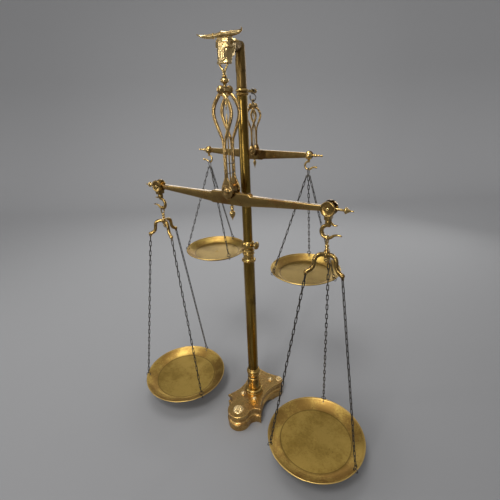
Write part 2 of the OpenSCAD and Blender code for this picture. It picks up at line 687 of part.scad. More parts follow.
module front_bail() color("goldenrod") translate([0, -front_y, 0]) difference() {
    union() {
        for (s = [-1, 1]) {
            translate([s * bail_w, 0, nose_z]) along_x(2 * bail_r, nose_r + 2.5);
            rod([s * bail_w, 0, nose_z], [s * bail_w, 0, muzzle_z - 1], bail_r, bail_r);
            translate([s * bail_w, 0, muzzle_z - 1]) sphere(bail_r);
            rod([s * bail_w, 0, muzzle_z - 1], [s * 2.5, 0, bar_z + 46], bail_r, bail_r + 0.5);
        }
        translate([0, 0, bar_z]) turned(concat([[0, 0], [4.5, 0], [4.5, 12], [6, 15.5]],
            arc([knob_r - 6, 23], 6, -80, 80, 16), [[6, 30.5], [5, 31]],
            arc([5, 34], 2.8, -80, 80, 20), [[4.5, 37.5], [5.5, 44], [4.5, 49], [0, 51]]));
        translate([0, 0, bar_z]) along_y(2 * (frame_y - ball_r) - 1, 2 * bar_r);
    }
    translate([0, 0, nose_z]) along_x(60, nose_r + run_fit);
    translate([0, 0, bar_z]) along_y(60, bar_r + slip / 2);
    translate([0, 0, bar_z - 2 * bar_r - 5]) cylinder(h = 5 + bar_r + 0.5, r = 2.5 + slip / 2);
}

module front_crossbar() color("darkgoldenrod") translate([0, -front_y, bar_z])
    along_y(2 * (frame_y + ball_r * 0.55), bar_r);

module front_pointer() color("goldenrod") translate([0, -front_y, bar_z - 2 * bar_r]) mirror([0, 0, 1])
    turned(concat([[0, 0.4 - bar_r], [2.5, 0.4 - bar_r], [2.5, 3], [2.8, 6]], arc([2.5, 9.5], 3, -70, 70, 20),
        [[2.4, 13]], arc([1.5, 17], 3.2, -60, 60, 20), [[2.2, 22], [2.8, 28], [1.8, 38], [0.6, 46], [0, 46]]));

module front_frame_near() color("goldenrod") translate([0, -front_y - frame_y, bar_z])
    frame(lyre_w, frame_l, lyre_bar, stem_w, plate_r, frame_t, ball_r, bar_r, axle_r, frame_t / 2 - 1.5);
module front_frame_far() color("goldenrod") translate([0, -front_y + frame_y, bar_z]) rotate([0, 0, 180])
    frame(lyre_w, frame_l, lyre_bar, stem_w, plate_r, frame_t, ball_r, bar_r, axle_r, frame_t / 2 - 1.5);

// Two bows of wire that hold the frames apart and pass round the needle
module front_spacers() color("dimgray") translate([0, -front_y, axle_z]) {
    half = frame_y - frame_t / 2;
    out = 11;
    R = (half * half + out * out) / (2 * out);
    for (h = bow_up) translate([0, 0, h]) intersection() {
        translate([out - R, 0, 0]) rotate([0, 0, -75]) rotate_extrude(angle = 150)
            translate([R, 0]) circle(1.2);
        cube([80, 2 * half, 80], center = true);
        translate([40 - stem_w / 2, 0, 0]) cube([80, 80, 80], center = true);
    }
}

function beam_top(x, l, mid, end) = end + (mid - end) * exp(-pow(x / (0.16 * l), 2));
module beam_outline(l, top_mid, low_mid, top, low) polygon(concat(
    [for (i = [-20 : 20]) let (x = l * i / 20) [x, mix(low_mid, low, i * i / 400)]],
    [for (i = [20 : -1 : -20]) let (x = l * i / 20) [x, beam_top(x, l, top_mid, top)]]));

module front_beam() color("goldenrod") translate([0, -front_y, axle_z]) difference() {
    top = beam_end_h / 2 - arm_drop;
    low = -beam_end_h / 2 - arm_drop;
    union() {
        rotate([90, 0, 0]) linear_extrude(beam_t, center = true)
            beam_outline(arm_l, 1, -beam_belly, top, low);
        intersection() {
            rotate([90, 0, 0]) linear_extrude(beam_mid_t, center = true)
                beam_outline(arm_l, 1, -beam_belly, top, low);
            linear_extrude(200, center = true) polygon([[-beam_mid_l - 6, -beam_t / 2],
                [-beam_mid_l, -beam_mid_t / 2], [beam_mid_l, -beam_mid_t / 2],
                [beam_mid_l + 6, -beam_t / 2], [beam_mid_l + 6, beam_t / 2],
                [beam_mid_l, beam_mid_t / 2], [-beam_mid_l, beam_mid_t / 2],
                [-beam_mid_l - 6, beam_t / 2]]);
        }
        for (s = [-1, 1]) translate([s * arm_l, 0, -arm_drop]) along_y(beam_t, beam_end_h / 2);
        along_y(2 * (frame_y - frame_t / 2 - 1), plate_r - 5);
    }
    for (s = [-1, 1]) translate([s * arm_l, 0, -arm_drop]) {
        along_y(60, pin_r + slip / 2);
        translate([s * (pin_r + 3), 0, 0]) rotate([0, s * 90, 0]) cylinder(h = 30, r = 3.5 + slip / 2);
    }
    along_y(80, axle_r + slip / 2);
    translate([0, 0, plate_r - 9]) cylinder(h = 30, r = 4 + slip / 2);
    translate([0, 0, -beam_belly - 1]) cylinder(h = 7, r = 3 + slip / 2);
}

module front_axle() color("dimgray") translate([0, -front_y, axle_z])
    along_y(2 * (frame_y + frame_t / 2 - 2), axle_r);

module front_needle() color("goldenrod") translate([0, -front_y, axle_z + plate_r - 9]) turned([
    [0, 0], [4, 0], [4, 5], [3, 9], [2.2, 18], [2, 0.7 * needle_l], [2.2, needle_l - 46 - plate_r + 9],
    [3.4, needle_l - 30 - plate_r + 9], [2.4, needle_l - 16 - plate_r + 9],
    [0.5, needle_l - plate_r + 9], [0, needle_l - plate_r + 9]]);

module front_end_pins() color("goldenrod") for (s = [-1, 1])
    translate([s * arm_l, -front_y, end_z]) {
        along_y(cheek_gap + 2 * cheek_t + 1, pin_r);
        for (a = [0, 180]) rotate([0, 0, a]) translate([0, cheek_gap / 2 + cheek_t + touch, 0])
            rotate([-90, 0, 0]) dome(pin_r + 2, 2.4);
    }

module front_finials() color("goldenrod") for (s = [0, 1]) mirror([s, 0, 0])
    translate([arm_l, -front_y, end_z]) finial(finial_l, 3.5, 10.5, pin_r + 3);

module front_pendant() color("goldenrod") translate([0, -front_y, axle_z - beam_belly])
    mirror([0, 0, 1]) turned(concat([[0, -5], [3, -5], [3, 2.5]], arc([3.5, 6], 3.2, -70, 70, 20),
        [[3.5, 10]], arc([3, 13.5], 3, -70, 70, 20), [[3.5, 18]],
        spline([[6.5, 20], [9.5, 27], [8.2, 36], [3.6, 43], [1.4, 48], [0.4, 53]], 3), [[0, 53]]));

// The large hook: two drum cheeks round the beam's end, a block, then the wire
module front_hook() color("goldenrod") {
    w = cheek_gap + 2 * cheek_t;
    difference() {
        union() {
            for (a = [0, 180]) rotate([0, 0, a]) translate([0, -cheek_gap / 2, hook_l]) rotate([90, 0, 0]) {
                turned([[0, 0], [drum_r, 0], [drum_r, cheek_t - 1.5], [drum_r - 1.5, cheek_t],
                    [drum_r - 4, cheek_t], [drum_r - 5, cheek_t - 1], [8, cheek_t - 1], [7, cheek_t],
                    [0, cheek_t]]);
            }
            translate([-9, -w / 2, hook_l - drum_r - 8]) cube([18, w, 14]);
        }
        translate([0, 0, hook_l]) along_y(60, pin_r + run_fit);
    }
    translate([0, 0, hook_l - drum_r - 16]) cylinder(h = 8, r1 = 6.5, r2 = 8);
    hook_wire(hook_R, hook_r, hook_l - drum_r - 16);
}
module front_right_hook() translate([arm_l, -front_y, hook_z]) front_hook();
module front_left_hook() translate([-arm_l, -front_y, hook_z]) mirror([1, 0, 0]) front_hook();

// Large pans

module swivel() color("goldenrod") {
    w = hook_r + 3;
    r = 2.2;
    translate([0, 0, hook_r + touch + r]) rotate([0, 0, 90]) link(25.5, w, r);
    translate([0, 0, hub_z - hook_z]) {
        translate([0, 0, hub_h / 2 + 5.5 + touch]) sphere(5.5);
        translate([0, 0, hub_h / 2 + 14.5]) sphere(6);
        translate([0, 0, -hub_h / 2 - 4]) cylinder(h = hub_h + 18, r = stem_r);
        translate([0, 0, -hub_h / 2 - touch]) mirror([0, 0, 1]) turned(concat([[0, 0], [6, 0], [6.4, 2.2],
            [4, 4]], arc([1, 9], 5, -55, 60, 15), [[2.4, 15], [1, 20], [0, 20]]));
    }
}
module front_left_swivel() translate([-arm_l, -front_y, hook_z]) swivel();
module front_right_swivel() translate([arm_l, -front_y, hook_z]) swivel();

module spider_arm() {
    r1 = 15;
    r2 = 13;
    w = spider_w;
    out = 20 + r1 + r2;
    translate([5, -w / 2, -w / 2]) cube([15, w, w]);
    translate([20, 0, -r1]) rotate([90, 0, 0]) rotate_extrude(angle = 90)
        translate([r1, 0]) square(w, center = true);
    translate([20 + r1 - w / 2, -w / 2, r2 - spider_drop]) cube([w, w, spider_drop - r1 - r2]);
    translate([out, 0, r2 - spider_drop]) rotate([90, 0, 0]) rotate([0, 0, 180])
        rotate_extrude(angle = 90) translate([r2, 0]) square(w, center = true);
    translate([out, -w / 2, -spider_drop - w / 2]) cube([spider_r - out, w, w]);
    translate([spider_r, 0, -spider_drop]) rotate([90, 0, 0]) sphere(7);
    translate([spider_r, 0, -spider_drop - 9]) rotate([90, 0, 0]) torus(4, 1.5);
}
module spider(turn) color("goldenrod") difference() {
    union() {
        cylinder(h = hub_h, r = 8, center = true);
        cylinder(h = spider_w + 2, r = 11, center = true);
        for (a = [0, 120, 240]) rotate([0, 0, turn + a]) spider_arm();
    }
    cylinder(h = 60, r = stem_r + run_fit, center = true);
}
module front_left_spider() translate([-arm_l, -front_y, hub_z]) spider(turn_left);
module front_right_spider() translate([arm_l, -front_y, hub_z]) spider(turn_right);

module front_chains(turn) color("slategray") chains([spider_r, tip_z - 9], 4, 1.5,
    [hole_c, rim_z + hole_h(pan_r, pan_flat, pan_depth, hole_c) - pan_depth + pan_t / 2],
    ring_R, ring_r, link_w, link_r, link_p, turn);
module front_left_chains() translate([-arm_l, -front_y, 0]) front_chains(turn_left);
module front_right_chains() translate([arm_l, -front_y, 0]) front_chains(turn_right);

module front_pan(turn) color("goldenrod")
    pan(pan_r, pan_flat, pan_depth, pan_t, hole_c, 2 * ring_r, turn);
module front_left_pan() translate([-arm_l, -front_y, rim_z]) front_pan(turn_left);
module front_right_pan() translate([arm_l, -front_y, rim_z]) front_pan(turn_right);

// Small balance

module rear_s_hook() color("dimgray") translate([0, rear_y, 0]) {
    R = arm_r + touch + s_r;
    low = (s_l - R) / 2;
    translate([0, 0, arm_z]) bend(R, s_r, -30, 270);
    translate([0, 0, s_z + low]) bend(low, s_r, -210, 90);
    translate([0, 0, s_z + 2 * low]) rotate([0, 90, 0]) sphere(s_r + 0.1);
}

module rear_hanger() color("goldenrod") translate([0, rear_y, rear_bar_z]) difference() {
    union() {
        translate([0, 0, rear_bar_l + s_r + touch + 1.8 - 5]) rotate([0, 90, 0]) torus(5, 1.8);
        translate([0, 0, 3]) cylinder(h = rear_bar_l - 8, r = 3.2);
        along_y(2 * (rear_frame_y - rear_ball_r) - 1, 4.6);
        translate([0, 0, -4]) mirror([0, 0, 1]) turned([[0, 0], [2, 0], [1.8, 4], [3, 7], [3.2, 9],
            [2, 12], [1.6, 24], [0.4, 32], [0, 32]]);
    }
    along_y(60, 2.5 + slip / 2);
}
module rear_crossbar() color("darkgoldenrod") translate([0, rear_y, rear_bar_z])
    along_y(2 * (rear_frame_y + rear_ball_r * 0.55), 2.5);

module rear_frame_near() color("goldenrod") translate([0, rear_y - rear_frame_y, rear_bar_z])
    frame(rear_lyre_w, rear_frame_l, rear_lyre_bar, rear_stem_w, rear_plate_r, rear_frame_t,
        rear_ball_r, 2.5, rear_axle_r, rear_frame_t / 2 - 1);
module rear_frame_far() color("goldenrod") translate([0, rear_y + rear_frame_y, rear_bar_z])
    rotate([0, 0, 180]) frame(rear_lyre_w, rear_frame_l, rear_lyre_bar, rear_stem_w, rear_plate_r,
        rear_frame_t, rear_ball_r, 2.5, rear_axle_r, rear_frame_t / 2 - 1);

module rear_beam() color("goldenrod") translate([0, rear_y, rear_axle_z]) difference() {
    top = rear_end_h / 2 - rear_arm_drop;
    union() {
        rotate([90, 0, 0]) linear_extrude(rear_beam_t, center = true) beam_outline(rear_arm_l, 5,
            5 - rear_mid_h, top, top - rear_end_h);
        for (s = [-1, 1]) translate([s * rear_arm_l, 0, -rear_arm_drop])
            along_y(rear_beam_t, rear_end_h / 2);
        along_y(2 * (rear_frame_y - rear_frame_t / 2) - 1, rear_plate_r - 3);
    }
    for (s = [-1, 1]) translate([s * rear_arm_l, 0, -rear_arm_drop]) {
        along_y(60, 2 + slip / 2);
        translate([s * 4, 0, 0]) rotate([0, s * 90, 0]) cylinder(h = 30, r = 2 + slip / 2);
    }
    along_y(60, rear_axle_r + slip / 2);
    translate([0, 0, rear_plate_r - 6]) cylinder(h = 30, r = 2.5 + slip / 2);
    translate([0, 0, 4 - rear_mid_h]) cylinder(h = 5, r = 2 + slip / 2);
}
module rear_axle() color("dimgray") translate([0, rear_y, rear_axle_z])
    along_y(2 * (rear_frame_y + rear_frame_t / 2 - 1.4), rear_axle_r);

// The needle above the small beam and the drop below it
module rear_needle() color("goldenrod") translate([0, rear_y, rear_axle_z]) {
    h = rear_plate_r - 6;
    turned([[0, h], [2.5, h], [2.5, h + 6], [1.5, h + 10], [1.3, 0.8 * rear_needle_l],
        [2.2, 0.88 * rear_needle_l], [0.4, rear_needle_l], [0, rear_needle_l]]);
    translate([0, 0, 9 - rear_mid_h]) mirror([0, 0, 1]) turned(concat([[0, 0], [2, 0], [2, 4.5]],
        arc([2.4, 7], 2.2, -70, 70, 20), [[2.2, 10]], spline([[3.4, 12], [5.2, 17], [4, 24],
        [1.6, 31], [0.4, 37]], 3), [[0, 37]]));
}

module rear_end_pins() color("goldenrod") for (s = [-1, 1])
    translate([s * rear_arm_l, rear_y, rear_end_z]) along_y(2 * rear_drum_r - 1, 2);

module rear_finials() color("goldenrod") for (s = [0, 1]) mirror([s, 0, 0])
    translate([rear_arm_l, rear_y, rear_end_z]) rotate([0, 90, 0]) {
        translate([0, 0, 4]) cylinder(h = rear_finial_l - 8, r = 2);
        for (b = [[16.5, 4.2], [22, 5], [28, 3], [32.5, 3.4], [37, 2.8], [41.5, 3.5]])
            translate([0, 0, b[0] + rear_finial_l - 45]) sphere(b[1]);
    }

module rear_hook() color("goldenrod") {
    difference() {
        translate([0, 0, rear_hook_l]) sphere(rear_drum_r);
        translate([-30, -rear_slot / 2, rear_hook_l - 0.72 * rear_drum_r]) cube([60, rear_slot, 60]);
        translate([0, 0, rear_hook_l]) along_y(60, 2 + run_fit);
    }
    hook_wire(rear_hook_R, rear_hook_r, rear_hook_l - rear_drum_r + 2);
}
module rear_right_hook() translate([rear_arm_l, rear_y, rear_hook_z]) rear_hook();
module rear_left_hook() translate([-rear_arm_l, rear_y, rear_hook_z]) mirror([1, 0, 0]) rear_hook();

// The oval eye that gathers three chains on a small hook
module rear_eye(turn) color("slategray") {
    r = 1.5;
    w = rear_hook_r + touch + 0.8 + r;
    translate([0, 0, rear_hook_r + touch + r]) rotate([0, 0, 90]) link(21.5, w, r);
    translate([0, 0, -18.3]) rotate([0, 90, 0]) sphere(4.2);
    for (a = [0, 120, 240]) rotate([0, 0, turn + a]) translate([6, 0, -21]) rotate([90, 0, 0]) torus(2.8, 1.2);
}
module rear_left_eye() translate([-rear_arm_l, rear_y, rear_hook_z]) rear_eye(rear_turn_left);
module rear_right_eye() translate([rear_arm_l, rear_y, rear_hook_z]) rear_eye(rear_turn_right);

module rear_chains(turn) color("slategray") chains([6, rear_hook_z - 21], 2.8, 1.2,
    [rear_hole_c, rear_rim_z + hole_h(rear_pan_r, rear_flat, rear_depth, rear_hole_c) - rear_depth
        + rear_pan_t / 2],
    rear_ring_R, rear_ring_r, rear_link_w, rear_link_r, rear_link_p, turn);
module rear_left_chains() translate([-rear_arm_l, rear_y, 0]) rear_chains(rear_turn_left);
module rear_right_chains() translate([rear_arm_l, rear_y, 0]) rear_chains(rear_turn_right);

module rear_pan(turn) color("goldenrod")
    pan(rear_pan_r, rear_flat, rear_depth, rear_pan_t, rear_hole_c, 2 * rear_ring_r, turn);
module rear_left_pan() translate([-rear_arm_l, rear_y, rear_rim_z]) rear_pan(rear_turn_left);
module rear_right_pan() translate([rear_arm_l, rear_y, rear_rim_z]) rear_pan(rear_turn_right);

base_plinth();
base_cap();
base_bolts();
base_rosettes();
foot_stud();
foot_flange();
column_foot();
foot_rings();
lower_column();
middle_joint();
lock_screw();
upper_column();
upper_collar();
column_neck();
bull_head();
left_horn();
right_horn();
nose_pin();
rear_bracket();
front_bail();
front_crossbar();
front_pointer();
front_frame_near();
front_frame_far();
front_spacers();
front_beam();
front_axle();
front_needle();
front_end_pins();
front_finials();
front_pendant();
front_left_hook();
front_right_hook();
front_left_swivel();
front_right_swivel();
front_left_spider();
front_right_spider();
front_left_chains();
front_right_chains();
front_left_pan();
front_right_pan();
rear_s_hook();
rear_hanger();
rear_crossbar();
rear_frame_near();
rear_frame_far();
rear_beam();
rear_axle();
rear_needle();
rear_end_pins();
rear_finials();
rear_left_hook();
rear_right_hook();
rear_left_eye();
rear_right_eye();
rear_left_chains();
rear_right_chains();
rear_left_pan();
rear_right_pan();
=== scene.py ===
import json
import math

import bmesh
import bpy
import numpy as np
from mathutils import Matrix, Vector


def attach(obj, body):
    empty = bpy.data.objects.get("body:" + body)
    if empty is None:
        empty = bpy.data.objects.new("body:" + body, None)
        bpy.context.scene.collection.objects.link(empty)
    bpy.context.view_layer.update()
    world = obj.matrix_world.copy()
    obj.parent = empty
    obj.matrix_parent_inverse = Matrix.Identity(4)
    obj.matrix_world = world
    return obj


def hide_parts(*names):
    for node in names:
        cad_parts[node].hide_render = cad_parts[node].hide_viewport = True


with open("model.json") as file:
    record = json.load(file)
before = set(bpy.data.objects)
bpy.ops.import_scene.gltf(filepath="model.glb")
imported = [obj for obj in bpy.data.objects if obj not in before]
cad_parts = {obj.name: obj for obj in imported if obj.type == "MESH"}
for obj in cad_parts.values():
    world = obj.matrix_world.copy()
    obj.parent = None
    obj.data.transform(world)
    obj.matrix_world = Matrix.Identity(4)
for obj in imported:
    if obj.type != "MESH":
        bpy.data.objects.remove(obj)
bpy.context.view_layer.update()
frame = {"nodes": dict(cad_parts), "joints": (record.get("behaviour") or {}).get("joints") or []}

scene = bpy.context.scene

# Studio
# A sheet of grey paper swept up behind the scale, a lamp high in front of it, upright strips before
# and behind that draw bright lines down the brass, and a soft lamp overhead. The paper is painted
# with shade: dark in front of the scale, for the brass to reflect as a dark room, lighter behind it
# and palest far out to the sides.
FOCAL_PX, FRAME_PX, SENSOR = 341.9104, 500, 36
CAMERA_PLACE = (0.6267, -0.9378, 1.2447)
azimuth, pitch, roll = math.radians(33.4664), math.radians(23.8631), math.radians(-2.2650)
ahead = Vector((-math.sin(azimuth) * math.cos(pitch), math.cos(azimuth) * math.cos(pitch),
                -math.sin(pitch)))
level = Vector((math.cos(azimuth), math.sin(azimuth), 0))
above = level.cross(ahead)
right = level * math.cos(roll) + above * math.sin(roll)
up = above * math.cos(roll) - level * math.sin(roll)
lens = bpy.data.cameras.new("camera")
lens.sensor_width, lens.lens = SENSOR, SENSOR * FOCAL_PX / FRAME_PX
lens.clip_start, lens.clip_end = 0.05, 60
camera = bpy.data.objects.new("camera", lens)
camera.matrix_world = Matrix.Translation(CAMERA_PLACE) @ Matrix(
    (right, up, -ahead)).transposed().to_4x4()
scene.collection.objects.link(camera)
scene.camera = camera
scene.view_settings.view_transform = "Standard"


class Value:
    """The output of a shader node, which adds a Math node when it meets an operator."""

    def __init__(self, paint, socket):
        self.paint, self.socket = paint, socket

    def math(self, operation, *values):
        return self.paint.node("ShaderNodeMath", dict(enumerate(values)), operation=operation)

    def __add__(self, other):
        return self.math("ADD", self, other)

    def __sub__(self, other):
        return self.math("SUBTRACT", self, other)

    def __rsub__(self, other):
        return self.math("SUBTRACT", other, self)

    def __mul__(self, other):
        return self.math("MULTIPLY", self, other)

    def __pow__(self, other):
        return self.math("POWER", self, other)

    __radd__, __rmul__ = __add__, __mul__


class Paint:
    """A material, built node by node from plain values and from other nodes' outputs."""

    def __init__(self, name, tree=None):
        if tree is None:
            self.material = bpy.data.materials.new(name)
            self.material.use_nodes = True
            tree = self.material.node_tree
            self.shader = tree.nodes["Principled BSDF"]
        self.tree = tree

    def node(self, kind, sockets=None, out=0, **settings):
        node = self.tree.nodes.new(kind)
        for key, value in settings.items():
            setattr(node, key, value)
        for key, value in (sockets or {}).items():
            self.join(node.inputs[key], value)
        return Value(self, node.outputs[out])

    def join(self, socket, value):
        if isinstance(value, Value):
            self.tree.links.new(value.socket, socket)
        else:
            socket.default_value = value

    def finish(self, **sockets):
        for key, value in sockets.items():
            self.join(self.shader.inputs[key.replace("_", " ")], value)
        return self.material

    def mix(self, mask, low, high):
        """A colour between low and high."""
        return self.node("ShaderNodeMix", {"Factor": mask, 6: low, 7: high}, out=2, data_type="RGBA")

    def place(self):
        """Where a point is on the object, in metres."""
        return self.node("ShaderNodeTexCoord", out="Object")

    def vector(self, operation, *values, out=0):
        return self.node("ShaderNodeVectorMath", dict(enumerate(values)), out=out, operation=operation)

    def noise(self, where, scale, detail=3, rough=0.55):
        """Cloudy values about 0.5, with features of 1/scale metres."""
        return self.node("ShaderNodeTexNoise", {
            "Vector": where, "Scale": scale, "Detail": detail, "Roughness": rough})

    def ramp(self, value, low, high):
        """0 up to low, 1 from high on, and smooth between."""
        return self.node("ShaderNodeMapRange", {"Value": value, "From Min": low, "From Max": high},
                         interpolation_type="SMOOTHSTEP")

    def patina_and_shade(self, depth):
        """1 in corners and cut lines about as wide as depth, 0 on open faces: painted shade and
        patina.
        """
        shade = self.node("ShaderNodeAmbientOcclusion", {"Distance": depth}, out="AO", samples=6,
                          only_local=True)
        return 1 - self.ramp(shade, 0.45, 0.93)

    def bump(self, height, distance):
        return self.node("ShaderNodeBump", {"Height": height, "Distance": distance})


LOW_AIR, HIGH_AIR = (0.20, 0.20, 0.203, 1), (0.55, 0.55, 0.56, 1)
world = bpy.data.worlds.new("studio")
scene.world = world
world.use_nodes = True
air = Paint("studio", world.node_tree)
height = air.node("ShaderNodeSeparateXYZ", {0: air.node("ShaderNodeTexCoord", out=0)}, out=2)
air.join(world.node_tree.nodes["Background"].inputs["Color"],
         air.mix(air.ramp(height, 0.2, 0.85), LOW_AIR, HIGH_AIR))

SHEET_START, SHEET_BEND, SWEEP, SHEET_TOP, SHEET_SIDE = -50, 3.0, 1.6, 7, 50
section = [(SHEET_START, 0), (SHEET_BEND, 0)]
section += [(SHEET_BEND + SWEEP * math.sin(math.radians(a)), SWEEP - SWEEP * math.cos(math.radians(a)))
            for a in range(6, 91, 6)]
section.append((SHEET_BEND + SWEEP, SHEET_TOP))
along = Vector((ahead.x, ahead.y, 0)).normalized()
points = [along * d + level * s * SHEET_SIDE + Vector((0, 0, h)) for d, h in section for s in (-1, 1)]
sheet = bpy.data.meshes.new("backdrop")
sheet.from_pydata(points, [], [(2 * i, 2 * i + 1, 2 * i + 3, 2 * i + 2)
                               for i in range(len(section) - 1)])
for face in sheet.polygons:
    face.use_smooth = True

# Painted shade on the paper: darkest just in front of the scale, lighter behind, palest far out.
SHADED_NEAR_PAPER, BACK_PAPER = (0.165, 0.165, 0.167, 1), (0.48, 0.48, 0.484, 1)
FAR_PAPER = (0.62, 0.62, 0.62, 1)
shaded_paper = Paint("shaded_paper")
away = shaded_paper.vector("DOT_PRODUCT", shaded_paper.place(), tuple(along), out="Value")
beside = shaded_paper.vector("DOT_PRODUCT", shaded_paper.place(), tuple(level), out="Value")
before = away.math("MINIMUM", away, 0)
far = (beside * beside + before * before) ** 0.5
shaded_grey = shaded_paper.mix(shaded_paper.ramp(away, -1.6, 4.6), SHADED_NEAR_PAPER, BACK_PAPER)
shaded_grey = shaded_paper.mix(shaded_paper.ramp(far, 2.6, 8), shaded_grey, FAR_PAPER)
sheet.materials.append(shaded_paper.finish(Base_Color=shaded_grey, Roughness=0.9))
floor = bpy.data.objects.new("backdrop", sheet)
scene.collection.objects.link(floor)


def lamp(name, place, target, size, power):
    """A white lamp of some width and height, in metres, turned to a point; it isn't seen itself."""
    light = bpy.data.lights.new(name, "AREA")
    light.shape, light.size, light.size_y = "RECTANGLE", size[0], size[1]
    light.energy = power
    stand = bpy.data.objects.new(name, light)
    stand.location = place
    stand.rotation_euler = (Vector(target) - Vector(place)).to_track_quat("-Z", "Y").to_euler()
    stand.visible_camera = False
    scene.collection.objects.link(stand)


lamp("key", (0.3, -1.6, 3.1), (0, 0, 0.6), (0.7, 0.7), 44)
lamp("front_strip", (0.25, -2.6, 1.25), (0, 0, 0.8), (0.22, 1.9), 23)
lamp("left_strip", (-2.3, -1.5, 1.5), (0, 0, 0.7), (0.3, 2.0), 12)
lamp("left_box", (-1.6, -2.2, 1.75), (0, -0.08, 1.37), (0.9, 0.6), 4)
lamp("back_strip", (0.55, 2.6, 1.5), (0, 0, 0.9), (0.25, 1.7), 8)
lamp("back_box", (-1.45, 2.2, 1.5), (0, 0, 1.0), (2.3, 0.45), 10)
lamp("top", (-0.5, 0.0, 3.2), (0, 0, 0.5), (1.4, 1.0), 30)

# Base
# Two heavy steps of cast brass in a keyhole outline, with a bright moulded edge round each, low
# arches cut in its sides, and a skin that years of handling have browned; its hollows are darker
# still, partly from patina and partly from painted shade.
MM = 0.001
PLINTH_TOP, CAP_TOP = 38, 76
ARCH_X, ARCH_Y, ARCH_Z, ARCH_R, ARCH_DEEP = 75, 4, -38, 60, 80


def arc(centre, radius, start, end, count):
    angles = [math.radians(start + (end - start) * i / count) for i in range(count + 1)]
    return [(centre[0] + radius * math.cos(a), centre[1] + radius * math.sin(a)) for a in angles]


def heading(a, b):
    return math.degrees(math.atan2(b[1] - a[1], b[0] - a[0]))


def cusped(grow):
    """The right half of the base seen from above, grown outwards by some millimetres."""
    lobe, lobe_r, notch, waist, waist_r = (0, -120), 46, (77.6, -113.2), (197, 4), 142
    corner, back_y = (58, 99), 116.5
    corner_r = math.dist(waist, corner) - waist_r
    notch_r = math.dist(notch, lobe) - lobe_r
    k = corner_r + corner[1] - back_y
    rear = (0, corner[1] + (corner[0] ** 2 - k * k) / (2 * k))
    gap = (waist[0] - notch[0], waist[1] - notch[1])
    d = math.hypot(*gap)
    a, b = notch_r - grow, waist_r - grow
    s = (a * a - b * b + d * d) / (2 * d)
    h = math.sqrt(a * a - s * s)
    tip = (notch[0] + gap[0] * s / d - gap[1] * h / d, notch[1] + gap[1] * s / d + gap[0] * h / d)
    half = (arc(lobe, lobe_r + grow, -90, heading(lobe, notch), 26)
            + arc(notch, a, heading(lobe, notch) + 180, heading(notch, tip), 22)
            + arc(waist, b, heading(waist, tip) + 360, heading(corner, waist) + 180, 26)
            + arc(corner, corner_r + grow, heading(corner, waist), heading(corner, rear), 26)
            + arc(rear, rear[1] - back_y - grow, heading(corner, rear) + 180, 270, 12))
    return half


def outline(grow):
    """The whole outline, counter-clockwise; the cusps are filed blunt as it grows."""
    half = []
    for (x, y), (x0, y0) in zip(cusped(grow), cusped(-1.5)):
        reach = math.dist((x, y), (x0, y0))
        keep = min(1, 1.25 * abs(grow + 1.5) / reach) if reach > 1e-6 else 1
        half.append((x0 + (x - x0) * keep, y0 + (y - y0) * keep))
    return half + [(-x, y) for x, y in half[-2:0:-1]]


def piece(name, mesh, material, body, slot, *stands_for, sharp=40):
    """Takes a finished mesh into the scene, smooth but for edges sharper than an angle."""
    work = bmesh.new()
    work.from_mesh(mesh)
    bmesh.ops.remove_doubles(work, verts=work.verts, dist=2e-6)
    bmesh.ops.recalc_face_normals(work, faces=work.faces)
    work.to_mesh(mesh)
    work.free()
    for face in mesh.polygons:
        face.use_smooth = True
    mesh.set_sharp_from_angle(angle=math.radians(sharp))
    mesh.materials.clear()
    mesh.materials.append(material)
    made = bpy.data.objects.new(name, mesh)
    scene.collection.objects.link(made)
    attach(made, body)
    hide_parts(*stands_for)


def skin(rings):
    """Points and faces of a closed skin over rings of equally many points, in millimetres."""
    count = len(rings[0])
    points = [p for ring in rings for p in ring]
    faces = [(i * count + j, i * count + (j + 1) % count, (i + 1) * count + (j + 1) % count,
              (i + 1) * count + j) for i in range(len(rings) - 1) for j in range(count)]
    faces += [tuple(range(count))[::-1], tuple(range((len(rings) - 1) * count, len(rings) * count))]
    return points, faces


def join(*parts):
    """One mesh, in metres, of several lists of points and faces in millimetres."""
    points, faces = [], []
    for some_points, some_faces in parts:
        faces += [tuple(i + len(points) for i in face) for face in some_faces]
        points += some_points
    mesh = bpy.data.meshes.new("mesh")
    mesh.from_pydata([Vector(p) * MM for p in points], [], faces)
    mesh.validate()
    return mesh


def apply(made):
    """Makes an object's modifiers part of its mesh."""
    graph = bpy.context.evaluated_depsgraph_get()
    baked = bpy.data.meshes.new_from_object(made.evaluated_get(graph))
    made.modifiers.clear()
    made.data = baked


def aged(name, bright, worn, tarnish_and_shade, rough=0.3, cloud=28, grain=0.00006, turned=0.0, depth=0.005):
    """Old metal: polished where hands and cloths reach, dark where they don't, with patina and painted
    shade in its corners.
    """
    p = Paint(name)
    where = p.place()
    cloudy = p.noise(where, cloud, 5, 0.62)
    fine = p.noise(where, cloud * 9, 4, 0.6)
    speck = p.noise(where, cloud * 40, 2)
    patina_and_shade = p.patina_and_shade(depth)
    patch = p.ramp(cloudy + 0.35 * (fine - 0.5), 0.42, 0.68)
    tone = p.mix(patch, bright, worn)
    tone = p.mix(p.ramp(fine, 0.56, 0.74) * 0.45, tone, tarnish_and_shade)
    # Patina and painted shade: corners and cut lines are drawn towards the tarnish colour.
    tone = p.mix(patina_and_shade * 0.75, tone, tarnish_and_shade)
    roughness = rough + 0.12 * patch + 0.25 * patina_and_shade + 0.06 * (fine - 0.5)
    return p.finish(Base_Color=tone, Metallic=1.0, Roughness=roughness, Anisotropic=turned,
                    Normal=p.bump(speck * 0.5 + fine, grain))


CAST = aged("cast_brass", (0.60, 0.38, 0.13, 1), (0.36, 0.20, 0.07, 1), (0.07, 0.035, 0.012, 1),
            rough=0.24, cloud=26, grain=0.00018, depth=0.011)


